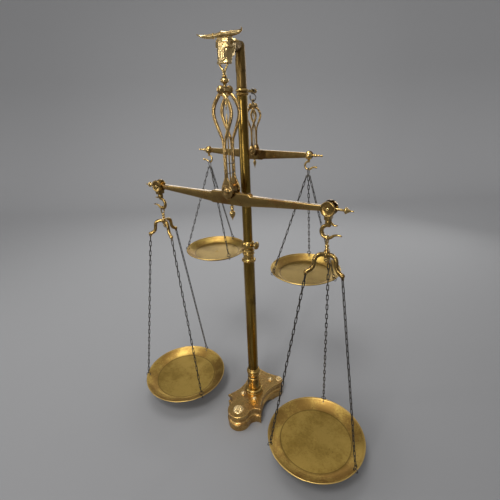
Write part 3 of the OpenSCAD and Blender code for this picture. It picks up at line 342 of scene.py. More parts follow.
def step(edge):
    """A step of the base from how far its outline is grown at each height."""
    return skin([[(x, y, z) for x, y in outline(grow)] for grow, z in edge])


def cut(made, centre, radius, length, axis):
    """Takes a round bar's shape out of a piece."""
    bpy.ops.mesh.primitive_cylinder_add(vertices=96, radius=radius * MM, depth=length * MM,
                                        location=Vector(centre) * MM)
    bar = bpy.context.object
    bar.rotation_euler = Vector((0, 0, 1)).rotation_difference(Vector(axis)).to_euler()
    bpy.context.view_layer.update()
    knife = made.modifiers.new("cut", "BOOLEAN")
    knife.operation, knife.object, knife.solver = "DIFFERENCE", bar, "EXACT"
    apply(made)
    bpy.data.objects.remove(bar)


plinth = bpy.data.objects.new("plinth", join(step([
    (-1.2, 0), (0, 1.4), (0, 29.5), (-0.9, 30.6), (-0.9, 32), (0.2, 33), (1.5, 33.8), (2, 35),
    (2, 36.2), (1.4, 37.4), (0, PLINTH_TOP)])))
scene.collection.objects.link(plinth)
for side in (-1, 1):
    cut(plinth, (side * ARCH_X, ARCH_Y, ARCH_Z), ARCH_R, ARCH_DEEP, (1, 0, 0))
plinth_mesh = plinth.data
bpy.data.objects.remove(plinth)
piece("plinth", plinth_mesh, CAST, "stand", "antique_brass", "base_plinth", sharp=34)
cap = step([
    (-1, PLINTH_TOP), (-1, 41), (-1.6, 42), (-4, 43.2), (-5, 46), (-5, 53), (-4.2, 56),
    (-2.6, 58.6), (-1.4, 60), (-1.4, 61.6), (-0.4, 62.4), (0.2, 64.4), (0.3, 68), (0.2, 71.6),
    (-0.3, 73.8), (-1.2, 75.3), (-2.4, 75.9), (-3.2, CAP_TOP), (-5, CAP_TOP)])
piece("cap", join(cap), CAST, "stand", "antique_brass", "base_cap", sharp=34)

# Bolts and rosettes
# Four dome-headed brass bolts on washers hold the cap to the plinth; three pressed rosettes with
# pointed petals cover the casting's lobes.
STAMPED = aged("stamped_brass", (0.90, 0.70, 0.38, 1), (0.68, 0.48, 0.20, 1),
               (0.12, 0.065, 0.02, 1), rough=0.26, cloud=70, grain=0.00003, depth=0.004)


def dress(material, *names):
    """Gives CAD pieces that keep their shape a finish of their own."""
    for name in names:
        mesh = frame["nodes"][name].data
        mesh.materials.clear()
        mesh.materials.append(material)


def lathe(profile, spin=48):
    """A turned shape about Z from pairs of radius and height."""
    rings = [[(r * math.cos(2 * math.pi * j / spin), r * math.sin(2 * math.pi * j / spin), z)
              for j in range(spin)] for r, z in profile]
    return skin(rings)


def moved(shape, matrix):
    points, faces = shape
    return [tuple(matrix @ Vector(p)) for p in points], faces


def petal(length, width, height, start):
    """A pointed leaf lying along +X, raised along its rib."""
    rings = []
    for i in range(11):
        t = i / 10
        w = width * math.sin(math.pi * min(1, t * 0.94 + 0.03)) ** 0.8 * (1 - 0.35 * t)
        h = height * math.sin(math.pi * (0.08 + 0.84 * t))
        rings.append([(start + length * t, w * math.cos(a), h * math.sin(a))
                      for a in (math.pi * k / 10 for k in range(11))])
    return skin(rings)


shapes = []
for x, y, scale in ((0, -125, 1.6), (63, 109, 1), (-63, 109, 1)):
    parts = [lathe([(0, 0), (13, 0), (13, 1.0), (12.4, 1.6), (11.4, 1.7), (10.6, 1.3), (0, 1.3)])]
    for n in range(6):
        turn = Matrix.Rotation(math.radians(60 * n + 30), 4, "Z")
        parts.append(moved(petal(9.2, 2.9, 2.6, 2.6), turn @ Matrix.Translation((0, 0, 0.9))))
        turn = Matrix.Rotation(math.radians(60 * n), 4, "Z")
        parts.append(moved(petal(8.6, 1.7, 1.5, 3.6), turn @ Matrix.Translation((0, 0, 0.9))))
    parts.append(lathe([(0, 0.5), (3.6, 0.8), (3.9, 1.9), (3.5, 2.5)] + [
        (3.5 * math.cos(math.radians(b)), 2.5 + 3.2 * math.sin(math.radians(b))) for b in
        range(15, 90, 15)] + [(0, 5.7)]))
    size = Matrix.Diagonal((scale, scale, min(scale, 1.25), 1))
    shapes += [moved(s, Matrix.Translation((x, y, CAP_TOP)) @ size) for s in parts]
piece("rosettes", join(*shapes), STAMPED, "stand", "polished_brass", "base_rosettes")
dress(STAMPED, "base_bolts")

# Foot stud
# A plain steel stud screwed up through the base. The foot and the column are pushed over it, so it
# doesn't show once they stand.
STEEL = aged("old_steel", (0.20, 0.19, 0.175, 1), (0.11, 0.10, 0.085, 1), (0.035, 0.026, 0.02, 1),
             rough=0.32, cloud=60, grain=0.00008, depth=0.003)
dress(STEEL, "foot_stud")

# Turned foot
# A flange, a tapered bell, three rings and a ball, all turned from brass on the lathe. It stands on
# the cap and takes the column's tube.
TURNED = aged("turned_brass", (0.50, 0.33, 0.10, 1), (0.27, 0.16, 0.045, 1),
              (0.05, 0.026, 0.009, 1), rough=0.19, cloud=36, turned=0.3, depth=0.007)
foot = [(0, CAP_TOP), (39, CAP_TOP), (39, 82.2), (38.4, 83.6), (37, 84.2), (34.2, 84.2)]
foot += arc((30, 89.6), 7.4, -50, 80, 10) + [(28.6, 97), (27.2, 97.2), (27.2, 103)]
foot += [(27, 107), (26.7, 120), (25.4, 132), (23.8, 142), (23, 147)]
foot += arc((22.5, 151), 2.8, -75, 75, 8) + [(22.2, 155), (22.6, 165), (23.2, 169.6)]
foot += arc((22.6, 174), 3.4, -80, 80, 8) + [(21.6, 178)] + arc((19, 186.6), 8.7, -62, 62, 14)
foot += [(21.6, 195)] + arc((21.4, 198), 2.7, -80, 80, 8) + [(20.6, 201), (20.6, 202), (0, 202)]
piece("turned_foot", join(lathe(foot, 96)), TURNED, "stand", "antique_brass", "foot_flange",
      "column_foot", "foot_rings", sharp=50)

# Column tubes
# Two lengths of drawn brass tube, one over the foot and one that turns in the joint above it. They
# are polished along their length and brown in long soft streaks; their dark colour is partly
# tarnish and partly a painted dark reflection of the room.


def drawn(name, bright, worn, tarnish_and_shade, rough):
    """Drawn tube: long streaks along Z, small flecks, and patina with painted shade in its corners."""
    p = Paint(name)
    where = p.place()
    drawn_out = p.node("ShaderNodeMapping", {"Vector": where, "Scale": (1, 1, 0.07)})
    streak = p.noise(drawn_out, 70, 5, 0.6)
    fleck = p.noise(where, 210, 4, 0.6)
    band = p.noise(where, 16)
    patina_and_shade = p.patina_and_shade(0.006)
    tone = p.mix(p.ramp(streak, 0.40, 0.66), bright, worn)
    tone = p.mix(p.ramp(band + 0.4 * (fleck - 0.5), 0.52, 0.75) * 0.6, tone, tarnish_and_shade)
    # Patina and painted shade: corners and cut lines are drawn towards the tarnish colour.
    tone = p.mix(patina_and_shade * 0.7, tone, tarnish_and_shade)
    return p.finish(Base_Color=tone, Metallic=1.0, Anisotropic=0.35,
                    Roughness=rough + 0.18 * p.ramp(streak, 0.4, 0.7) + 0.2 * patina_and_shade,
                    Normal=p.bump(fleck + streak, 0.00006))


# Dark colours: partly tarnish, partly a painted reflection of a dark room.
TUBE = drawn("drawn_brass", (0.30, 0.19, 0.04, 1), (0.14, 0.08, 0.016, 1), (0.035, 0.017, 0.005, 1),
             0.2)
dress(TUBE, "lower_column", "upper_column")

# Joint, collar and bracket
# Turned brass fittings pushed on the tubes: the ringed socket with its bulb half way up, the collar
# under the neck, and the arm behind it that carries the small balance.
dress(TURNED, "middle_joint", "upper_collar", "rear_bracket")

# Lock screw
# A brass thumb screw in the side of the joint's bulb. Hand-tight, it holds the upper tube; eased,
# it lets the whole mast turn.
POLISHED = aged("polished_brass", (0.60, 0.42, 0.16, 1), (0.34, 0.22, 0.075, 1),
                (0.07, 0.04, 0.014, 1), rough=0.14, cloud=45, grain=0.00002)
dress(POLISHED, "lock_screw")

# Bull's head
# One hollow casting with the horn bar across its crown. It was cast from a carved pattern, so the
# forms are round and the cut lines - eye slits, nostrils, jaw, brow band - are worn soft.


def pivot(joint):
    """Where a joint turns, in millimetres."""
    place = next(j["pos_m"] for j in frame["joints"] if j["name"] == joint)
    return Vector([round(v / MM, 3) for v in place])


FRONT = pivot("front_bail_swing").y
MUZZLE = 1333
HORN_Z = MUZZLE + 69
GOLDEN, DOTS = 2.399963, 120
SPHERE = [(math.cos(GOLDEN * i) * math.sqrt(1 - (1 - 2 * (i + 0.5) / DOTS) ** 2),
           math.sin(GOLDEN * i) * math.sqrt(1 - (1 - 2 * (i + 0.5) / DOTS) ** 2),
           1 - 2 * (i + 0.5) / DOTS) for i in range(DOTS)]


def spline(points, steps):
    """A smooth path through some points."""
    path = []
    for i in range(len(points) - 1):
        a, b, c, d = (Vector(points[max(0, min(len(points) - 1, i + k))]) for k in (-1, 0, 1, 2))
        for k in range(steps + (i == len(points) - 2)):
            t = k / steps
            path.append(0.5 * (2 * b + (c - a) * t + (2 * a - 5 * b + 4 * c - d) * t * t
                               + (3 * b - a - 3 * c + d) * t ** 3))
    return path


def at(values, t):
    """A value at t, from 0 to 1, along evenly spaced values."""
    s = t * (len(values) - 1)
    i = min(int(s), len(values) - 2)
    return values[i] + (values[i + 1] - values[i]) * (s - i)


def bar(path, wide, thick, power=2.0, sides=20, ends=True):
    """A round or flattened rod along a path across Y; wide and thick are half sizes along it."""
    across, path = Vector((0, 1, 0)), [Vector(p) for p in path]
    rings, last = [], len(path) - 1
    for i, p in enumerate(path):
        ahead = (path[min(last, i + 1)] - path[max(0, i - 1)]).normalized()
        out = across.cross(ahead).normalized()
        w, h = at(wide, i / last), at(thick, i / last)
        spots = []
        for k in range(sides):
            c, s = math.cos(2 * math.pi * k / sides), math.sin(2 * math.pi * k / sides)
            spots.append(w * math.copysign(abs(c) ** (2 / power), c) * out
                         + h * math.copysign(abs(s) ** (2 / power), s) * across)
        if ends and i == 0:
            for a in (75, 50, 25):
                rings.append([tuple(p - ahead * w * math.sin(math.radians(a))
                                    + q * math.cos(math.radians(a))) for q in spots])
        rings.append([tuple(p + q) for q in spots])
        if ends and i == last:
            for a in (25, 50, 75):
                rings.append([tuple(p + ahead * w * math.sin(math.radians(a))
                                    + q * math.cos(math.radians(a))) for q in spots])
    return skin(rings)


def face(*points):
    """Points on the head, with y from the nose pin and z from the end of the muzzle."""
    return [(x, FRONT + y, MUZZLE + z) for x, y, z in points]


def pair(x, y, z, r):
    """Two balls that reach x to the left and right of the face; y and z as in face."""
    return [(s * (x - r), FRONT + y, MUZZLE + z, r) for s in (-1, 1)]


def wrap(*balls):
    """The skin stretched over some balls of (x, y, z, radius)."""
    work = bmesh.new()
    for x, y, z, r in balls:
        for a, b, c in SPHERE:
            work.verts.new((x + r * a, y + r * b, z + r * c))
    made = bmesh.ops.convex_hull(work, input=work.verts)
    bmesh.ops.delete(work, geom=list({v for v in made["geom_interior"]}), context="VERTS")
    work.verts.index_update()
    shape = [tuple(v.co) for v in work.verts], [tuple(v.index for v in f.verts) for f in work.faces]
    work.free()
    return shape


def melt(shapes, voxel, rounds):
    """Casts overlapping skins into one, with its edges rounded."""
    made = bpy.data.objects.new("melt", join(*shapes))
    scene.collection.objects.link(made)
    fuse = made.modifiers.new("fuse", "REMESH")
    fuse.mode, fuse.voxel_size, fuse.adaptivity = "VOXEL", voxel * MM, 0
    soften = made.modifiers.new("soften", "SMOOTH")
    soften.factor, soften.iterations = 0.5, rounds
    apply(made)
    mesh = made.data
    bpy.data.objects.remove(made)
    return mesh


def chisel(mesh, *strokes):
    """Raises (or cuts, if negative) soft lines in a skin: a path, a half width, a height."""
    count = len(mesh.vertices)
    place, normal = np.zeros(count * 3), np.zeros(count * 3)
    mesh.vertices.foreach_get("co", place)
    mesh.vertices.foreach_get("normal", normal)
    place, normal = place.reshape(-1, 3) / MM, normal.reshape(-1, 3)
    move = np.zeros(count)
    for path, width, height in strokes:
        best = np.full(count, 1e9)
        for a, b in zip(path, path[1:]):
            a, b = np.array(a, float), np.array(b, float)
            t = np.clip(((place - a) @ (b - a)) / ((b - a) @ (b - a)), 0, 1)
            best = np.minimum(best, np.linalg.norm(place - a - t[:, None] * (b - a), axis=1))
        move += height * np.exp(-(best / width) ** 2)
    place = (place + normal * move[:, None]) * MM
    mesh.vertices.foreach_set("co", place.ravel())
    mesh.update()


def both(path, width, height):
    """A stroke and its mirror image."""
    return (path, width, height), ([(-x, y, z) for x, y, z in path], width, height)


def trim(mesh, y, keep):
    """Cuts a casting off flat across Y and closes it."""
    work = bmesh.new()
    work.from_mesh(mesh)
    cut_faces = bmesh.ops.bisect_plane(
        work, geom=work.verts[:] + work.edges[:] + work.faces[:], plane_co=(0, y * MM, 0),
        plane_no=(0, keep, 0), clear_inner=True)
    rim = [e for e in cut_faces["geom_cut"] if isinstance(e, bmesh.types.BMEdge)]
    bmesh.ops.contextual_create(work, geom=rim)
    work.to_mesh(mesh)
    work.free()


# Lips, snout, brow, the band over it, crown, jowls, jaw, then the ears and the bar of the horns.
head = melt([
    wrap(*pair(19.6, -3.5, 3, 3), *pair(10, -8, 3, 3), *pair(19.4, 12, 3, 3), *pair(17, -4, 8, 3),
         *pair(17, 14, 8, 3)),
    wrap(*pair(16.8, -2.5, 8, 3), *pair(8.6, -7.6, 8, 3), *pair(17.4, -1.5, 40, 3),
         *pair(8.2, -6.4, 40, 3), *pair(17, 15, 9, 4), *pair(19, 22, 38, 5)),
    wrap(*pair(23, 0.5, 40.5, 2.4), *pair(8.5, -6.4, 37, 2.6), *pair(20.8, -1, 53, 3),
         *pair(8, -5.6, 53.6, 3), *pair(23.4, 16, 43, 4), *pair(20.5, 22, 53, 5)),
    wrap(*pair(20.6, -1, 58, 2), *pair(8, -5.4, 58, 2), *pair(20.6, 20, 58, 2.4)),
    wrap(*pair(18, 1, 62, 3), *pair(18, 24, 61, 4), *pair(15, 2, 70, 4), *pair(14, 26, 66, 5)),
    wrap(*pair(21.4, 14, 46, 6), *pair(20, 34, 50, 7), *pair(19, 16, 26, 6), *pair(17, 30, 26, 6),
         *pair(16, 18, 20, 5)),
    wrap(*pair(24, 26, 40, 7), *pair(23, 20, 32, 6)),
    *(wrap((s * 18, FRONT + 21, MUZZLE + 57, 5), (s * 27, FRONT + 24, MUZZLE + 55.5, 4.4),
           (s * 35, FRONT + 27, MUZZLE + 52.5, 1.6)) for s in (-1, 1)),
    bar([(x, FRONT + 1, HORN_Z + 1.5 * math.exp(-(x / 11) ** 2)) for x in range(-29, 30, 2)],
        [5.6, 5.7, 5.8, 6.6, 7.6, 6.6, 5.8, 5.7, 5.6], [5.6, 5.6, 5.7, 6.4, 7.4, 6.4, 5.7, 5.6, 5.6],
        sides=28),
], 0.95, 4)
# Brow ridges, eyes and the folds under them, forehead, bridge of the nose, nostrils, mouth, the two
# edges of the brow band, jaw and ears.
chisel(
    head,
    *both(face((8, -8, 48), (16, -4, 47), (22, 0, 43)), 5, 0.8),
    *both(face((13, -8, 36), (18, -4, 36.5), (23, 1, 39)), 1.8, -1.5),
    *both(face((17, -5, 32.5), (19.5, -1, 33.5)), 2.2, 0.8),
    (face((0, -9, 55), (0, -9, 47), (0.6, -9, 39), (0, -9, 31)), 1.5, -0.8),
    *both(face((9.5, -10, 10), (9, -9, 33)), 2.4, 0.8),
    (face((0, -10, 12), (0, -9, 31)), 2.8, -0.7),
    *both(face((5, -11, 11.5), (9.5, -10, 14.5), (13, -6, 12)), 1.7, -1.9),
    (face((-19, -2, 6.6), (-10, -10.5, 6.6), (10, -10.5, 6.6), (19, -2, 6.6)), 1.3, -0.9),
    (face((-22, 4, 55.4), (-12, -4, 55.6), (12, -4, 55.6), (22, 4, 55.4)), 1.5, -1.3),
    (face((-22, 4, 60.4), (-12, -4, 60.6), (12, -4, 60.6), (22, 4, 60.4)), 1.5, -1.5),
    *both(face((25, 18, 53), (28, 29, 44), (27, 32, 33), (21, 26, 20)), 1.7, -2.2),
    *both(face((20, 22, 58), (29, 25, 55.5)), 1.5, -1.5),
)
trim(head, FRONT + 38, -1)
HEAD = aged("head_brass", (0.62, 0.45, 0.20, 1), (0.42, 0.28, 0.11, 1), (0.045, 0.024, 0.009, 1),
            rough=0.2, cloud=40, grain=0.00005, depth=0.010)
piece("bulls_head", head, HEAD, "mast", "polished_brass", "bull_head", sharp=80)

# Neck
# The casting behind the head: a plain tube that rises from the collar to the crown and reaches
# forward to the back of the head. Its colour is far darker than the face's: partly tarnish and
# partly painted shade that keeps the lamps from lighting it up.
neck = melt([
    wrap((0, 0, 1280, 15.4), (0, 0, 1340, 15), (0, 0, 1383, 13.8)),
    wrap((0, -3, 1385, 11.5), (0, -42, 1388, 12.5), (0, -42, 1376, 14), (0, -14, 1378, 10)),
    lathe([(0, 1273), (15.5, 1273), (15.5, 1284), (0, 1284)]),
], 1.3, 8)
chisel(neck, *both([(14, -38, 1380), (12, -22, 1374), (11, -11, 1350), (10, -12, 1320)], 3.0, 1.2),
       ([(0, -24, 1362), (0, -17, 1340), (0, -15, 1310)], 3.0, 1.0),
       *both([(9, 12, 1392), (8, 15, 1350), (7, 15, 1310)], 2.6, -0.8))
trim(neck, FRONT + 36, 1)
# About a third as bright as the face: tarnish and painted shade.
NECK = aged("neck_brass", (0.20, 0.125, 0.04, 1), (0.10, 0.06, 0.02, 1), (0.035, 0.02, 0.008, 1),
            rough=0.42, cloud=32, grain=0.0001, depth=0.010)
piece("neck", neck, NECK, "mast", "antique_brass", "column_neck", sharp=80)

# Horns
# Turned and bent from brass rod, each driven on the bar's end behind a small ferrule. The tips
# sweep forward and up.
HORN_START, HORN_REACH, HORN_FORWARD, HORN_RISE, HORN_TURN = 28, 45, 17, 7, math.radians(82)
FERRULE = ((0, 6.4), (0.004, 7.2), (0.02, 7.3), (0.05, 7.2), (0.062, 6.2))


def horn_line(side, t):
    """A horn's middle line, from 0 in the ferrule to 1 at the tip."""
    out = HORN_START + HORN_REACH * math.sin(HORN_TURN * t) / math.sin(HORN_TURN)
    t = max(t, 0)
    return Vector((side * out, FRONT + 1 - HORN_FORWARD * t ** 2.2, HORN_Z + HORN_RISE * t ** 3))


for side, name in ((-1, "left_horn"), (1, "right_horn")):
    rings = []
    for t, size in FERRULE + tuple((i / 52, 0.7 + 5.8 * (1 - (i / 52) ** 1.5)) for i in range(1, 53)):
        forward = (horn_line(side, t + 0.01) - horn_line(side, t - 0.01)).normalized()
        out = forward.cross(Vector((0, 0, 1))).normalized()
        over = out.cross(forward)
        rings.append([tuple(horn_line(side, t) + size * (out * math.cos(a) + over * math.sin(a)))
                      for a in (2 * math.pi * k / 28 for k in range(28))])
    piece(name + "_cast", join(skin(rings)), HEAD, "mast", "polished_brass", name)

# Nose pin and bail
# A short steel pin through the nostrils, and the bail of bent brass rod that hangs on it. The whole
# large balance swings from this pin.
dress(STEEL, "nose_pin")
dress(POLISHED, "front_bail")

# Crossbar and pointer
# A cast brass bar under the bail carries a stirrup on each end, and the fixed index that the beam's
# needle is read against.
FRAME = aged("stirrup_brass", (0.44, 0.29, 0.11, 1), (0.25, 0.15, 0.055, 1),
             (0.055, 0.03, 0.012, 1), rough=0.17, cloud=42, grain=0.00003, depth=0.007)
dress(FRAME, "front_crossbar")
dress(POLISHED, "front_pointer")

# Stirrups of the large balance
# A pair of cast lyre frames hangs from the crossbar, one before and one behind the beam. Each has a
# ball at its top, rounded bars that meet in a flat stem, and a pointed plate that bears the axle.
# Two bowed steel wires keep them apart.
CROSSBAR_Z, STIRRUP_OUT = 1270, 20


def slab(edge, thick, round_off):
    """A plate in the XZ plane, its rim rounded, from an outline of (x, z)."""
    count, edge = len(edge), [Vector(p) for p in edge]
    inward = []
    for i, p in enumerate(edge):
        a, b = (p - edge[i - 1]).normalized(), (edge[(i + 1) % count] - p).normalized()
        n = Vector((-a.y - b.y, a.x + b.x))
        inward.append(n / max(0.5, 1 + a.dot(b)))
    rings = []
    for a in (90, 60, 30, 0):
        inset = round_off * (1 - math.cos(math.radians(a)))
        y = thick / 2 - round_off + round_off * math.sin(math.radians(a))
        rings.append([(p.x + n.x * inset, y, p.y + n.y * inset) for p, n in zip(edge, inward)])
    rings += [[(x, -y, z) for x, y, z in ring] for ring in rings[::-1]]
    return skin(rings)


def ball(r, sides=32):
    return lathe(arc((0, 0), r, -90, 90, 20), sides)


def facing(side, shape):
    """Turns what stands on Z to look along -Y or +Y."""
    return moved(shape, Matrix.Rotation(math.radians(90 * side), 4, "X"))


def stirrup(side, place, width, drop, rod, stem, plate, thick, knob):
    """A lyre frame hung at place = (x, y, z); side -1 faces the back, 1 the front."""
    stem_x = stem / 4
    line = spline([
        (0.1 * width, -0.03 * drop), (0.36 * width, -0.062 * drop), (0.68 * width, -0.108 * drop),
        (0.9 * width, -0.16 * drop), (0.97 * width, -0.21 * drop), (0.9 * width, -0.262 * drop),
        (0.67 * width, -0.33 * drop), (0.4 * width, -0.40 * drop), (stem_x + 1.4, -0.475 * drop),
        (stem_x, -0.56 * drop)], 7)
    wide = [rod * k for k in (0.6, 0.72, 0.76, 0.74, 0.72, 0.7, 0.68, 0.62, 0.5, 0.4)]
    deep = [thick / 2 * k for k in (1.1, 1.25, 1.3, 1.3, 1.25, 1.2, 1.2, 1.1, 1, 0.9)]
    parts = []
    for s in (-1, 1):
        parts.append(bar([(s * p.x, 0, p.y) for p in line], wide, deep, power=2.3))
        parts.append(moved(ball(rod * 0.74, 20),
                           Matrix.Translation((s * 0.52 * width, 0, -0.083 * drop))))
    half = [(0.5 * stem, -0.53 * drop), (0.46 * stem, -0.7 * drop), (0.5 * stem, -0.84 * drop),
            (0.66 * stem, 1.75 * plate - drop), (0.8 * plate, 0.75 * plate - drop),
            (0.97 * plate, 0.2 * plate - drop), (0.97 * plate, -0.2 * plate - drop),
            (0.74 * plate, -0.78 * plate - drop), (0.1 * plate, -1.36 * plate - drop)]
    edge = [tuple(p) for p in spline(half, 5)]
    edge = [(-x, z) for x, z in edge] + [(x, z) for x, z in edge[::-1]]
    parts.append(slab(edge, thick, min(2.0, 0.33 * thick)))
    for s in (-1, 1):
        parts.append(bar([(s * 0.24 * stem, side * -0.4 * thick, -0.5 * drop),
                          (s * 0.22 * stem, side * -0.4 * thick, -0.7 * drop),
                          (s * 0.22 * stem, side * -0.4 * thick, 2.0 * plate - drop)],
                         [0.2 * stem] * 2, [0.22 * thick] * 2, sides=12))
    hub = Matrix.Translation((0, side * -thick / 2, -drop))
    boss = [(0, -0.5)] + [
        (0.84 * plate, -0.5), (0.84 * plate, 0.3), (0.8 * plate, 0.9), (0.74 * plate, 1.1),
        (0.69 * plate, 0.9), (0.66 * plate, 0.1), (0.6 * plate, 0), (0.57 * plate, 0.06 * plate),
        (0.52 * plate, 0.08 * plate), (0.47 * plate, 0.05 * plate), (0.45 * plate, 0.03 * plate),
        (0.42 * plate, 0.12 * plate), (0.36 * plate, 0.21 * plate), (0.24 * plate, 0.28 * plate),
        (0, 0.3 * plate)]
    parts.append(moved(facing(side, lathe(boss)), hub))
    parts.append(facing(side, ball(knob)))
    parts.append(facing(side, lathe([(0, knob * 0.9), (0.5 * knob, knob * 0.92),
                                     (0.46 * knob, knob * 1.02), (0.3 * knob, knob * 1.08),
                                     (0, knob * 1.1)], 24)))
    parts.append(moved(lathe([(0, 0), (rod * 0.9, 0), (rod * 0.75, knob * 0.35),
                              (rod, knob * 0.7), (0, knob * 0.8)], 24),
                       Matrix.Translation((0, 0, -knob * 1.35))))
    return [moved(s, Matrix.Translation(place)) for s in parts]


axle = pivot("front_beam_tilt")
for side, node in ((1, "front_frame_near"), (-1, "front_frame_far")):
    shapes = stirrup(side, (0, axle.y - side * STIRRUP_OUT, CROSSBAR_Z), width=32,
                     drop=CROSSBAR_Z - axle.z, rod=7.8, stem=11.4, plate=21, thick=6.4, knob=11.6)
    piece(node + "_cast", join(*shapes), FRAME, "front_suspension", "polished_brass", node)
dress(STEEL, "front_spacers")

# Large beam
# One long bar of cast brass, deepest at the axle and tapered to the drums at its ends, with rounded
# edges and a thicker middle that turns between the two plates. A steel axle passes through it, and
# the brass needle stands on it over a small turned drop.


def beam(half, top, low, mid_top, mid_low, thin, middle, thick, edge_r):
    """A bar along X; top and low each give an edge's height at the middle and at the ends."""
    rings = []
    for i in range(-80, 81):
        x = half * i / 80
        t = abs(x) / half
        blend = min(1, max(0, (abs(x) - middle) / 5))
        blend = blend * blend * (3 - 2 * blend)
        high = mid_top + (top[0] + (top[1] - top[0]) * t - mid_top) * blend
        deep = mid_low + (low[0] + (low[1] - low[0]) * t - mid_low) * blend
        y = (thick + (thin - thick) * min(1, max(0, abs(x) - middle) / 90)) / 2
        ring = []
        for cy, cz, start in ((y - edge_r, high - edge_r, 0), (edge_r - y, high - edge_r, 90),
                              (edge_r - y, deep + edge_r, 180), (y - edge_r, deep + edge_r, 270)):
            ring += [(x, y, z) for y, z in arc((cy, cz), edge_r, start, start + 90, 5)]
        rings.append(ring)
    return skin(rings)


# Darker brass than most parts: partly tarnish, partly a painted dark reflection of the room.
BEAM = aged("beam_brass", (0.36, 0.235, 0.08, 1), (0.20, 0.105, 0.035, 1), (0.05, 0.026, 0.009, 1),
            rough=0.2, cloud=19, grain=0.00003, depth=0.006)
end = pivot("front_right_hook_swing")
drum = [(0, -7.5), (9, -7.5), (10.4, -6), (10.4, 6), (9, 7.5), (0, 7.5)]
parts = [beam(end.x, top=(-14, -12.5), low=(-50, -26), mid_top=-7, mid_low=-47.5, thin=15,
              middle=70, thick=22, edge_r=2.8)]
parts += [moved(facing(1, lathe(drum)), Matrix.Translation((s * end.x, 0, end.z - axle.z)))
          for s in (-1, 1)]
parts.append(facing(1, lathe([(0, -16), (15, -16), (16, -15), (16, 15), (15, 16), (0, 16)])))
piece("front_beam_bar", join(*(moved(s, Matrix.Translation(axle)) for s in parts)), BEAM,
      "front_beam", "polished_brass", "front_beam")
dress(STEEL, "front_axle")
dress(POLISHED, "front_needle", "front_end_pins", "front_pendant")

# Finials of the large beam
# A turned arrow on a short stem, driven into each end of the beam: a flange, a hollow cone and a
# small ball at the point.
tip = [(0, 14), (3.3, 14), (3.3, 39), (4, 40.4), (4.8, 41.4), (8.2, 44.2), (9.2, 45.2), (9.4, 46.4),
       (8.8, 47.6), (6.6, 50.2), (4.6, 53.6), (2.9, 57.6), (1.7, 60.6), (1.5, 61.4), (2.1, 62.4),
       (2.5, 64), (2.1, 65.8), (1.2, 67), (0, 67.4)]
shapes = [moved(lathe(tip, 40), Matrix.Translation((s * end.x, end.y, end.z))
                @ Matrix.Rotation(math.radians(90 * s), 4, "Y")) for s in (-1, 1)]
piece("finial_arrows", join(*shapes), POLISHED, "front_beam", "polished_brass", "front_finials",
      sharp=50)

# Large hooks
# Two dished cheeks pinned round the beam's end, a block under them and an open hook of tapered
# brass: a short horn over the top and a long lip that curls out below.
HOOK_R, HOOK_WIRE_R, CHEEK_R = 18.4, 5.4, 21.4
HOOK = aged("hook_brass", (0.36, 0.235, 0.075, 1), (0.20, 0.12, 0.038, 1), (0.05, 0.028, 0.01, 1),
            rough=0.19, cloud=46, grain=0.00003, depth=0.006)


def open_hook(bend, wire):
    """A hook's wire in the XZ plane from its lowest point, its mouth towards +X."""
    turn = 1.26 * bend
    lip = ((bend + turn) * math.sqrt(0.5), bend + turn - (bend + turn) * math.sqrt(0.5))
    path = arc((0, bend), bend, 80, 315, 26) + arc((lip[0], lip[1] - turn), turn, 132, 88, 6)
    path += [(lip[0] + 0.28 * bend, lip[1] - 0.01 * bend), (lip[0] + 0.5 * bend, lip[1] - 0.06 * bend)]
    wide = (0.9, 0.96, 1.02, 1.08, 1.1, 1.08, 1.02, 0.94, 0.82, 0.68, 0.54, 0.4)
    thick = (0.9, 0.94, 0.98, 1, 1.02, 1.02, 1, 0.94, 0.84, 0.72, 0.58, 0.44)
    return bar([(x, 0, z) for x, z in path], [wire * k for k in wide], [wire * k for k in thick])


cheek = [(0, 0), (CHEEK_R, 0), (CHEEK_R, 5.4), (20.9, 6.5), (19.8, 7), (18.6, 6.9), (17.9, 6.2),
         (17, 5.5), (9, 4.9), (4.4, 5), (3.9, 6), (2.8, 6.9), (0, 7.2)]
seat = pivot("front_right_pan_swing")
for side, name in ((-1, "front_left_hook"), (1, "front_right_hook")):
    parts = [moved(facing(s, lathe(cheek, 64)), Matrix.Translation((0, -8 * s, end.z - seat.z)))
             for s in (-1, 1)]
    parts.append(slab([(-8, 55), (8, 55), (9.4, 70), (-9.4, 70)], 29, 2.4))
    parts.append(slab([(-6, 64), (6, 64), (9, 66), (-9, 66)], 15.6, 0.2))
    parts.append(lathe([(0, 33), (4.8, 34), (6.4, 37), (8.6, 41), (9.6, 45), (9.2, 50), (8.6, 54),
                        (8.8, 57), (0, 57)], 32))
    parts.append(open_hook(HOOK_R, HOOK_WIRE_R))
    parts.append(bar([(4, 0, 47), (10, 0, 42), (16, 0, 39.4), (21, 0, 38.8), (25, 0, 39.8)],
                     [5, 4, 3, 2.3, 1.9], [4.8, 4, 3, 2.4, 2]))
    turn = Matrix.Translation((side * seat.x, seat.y, seat.z)) @ Matrix.Scale(side, 4, (1, 0, 0))
    piece(name + "_cast", join(*(moved(s, turn) for s in parts)), HOOK, name, "polished_brass",
          name)

# Swivels
# A brass link in each large hook, with balls and a drop turned on its shank. The shank passes down
# through the spider and lets it turn.
dress(POLISHED, "front_left_swivel", "front_right_swivel")

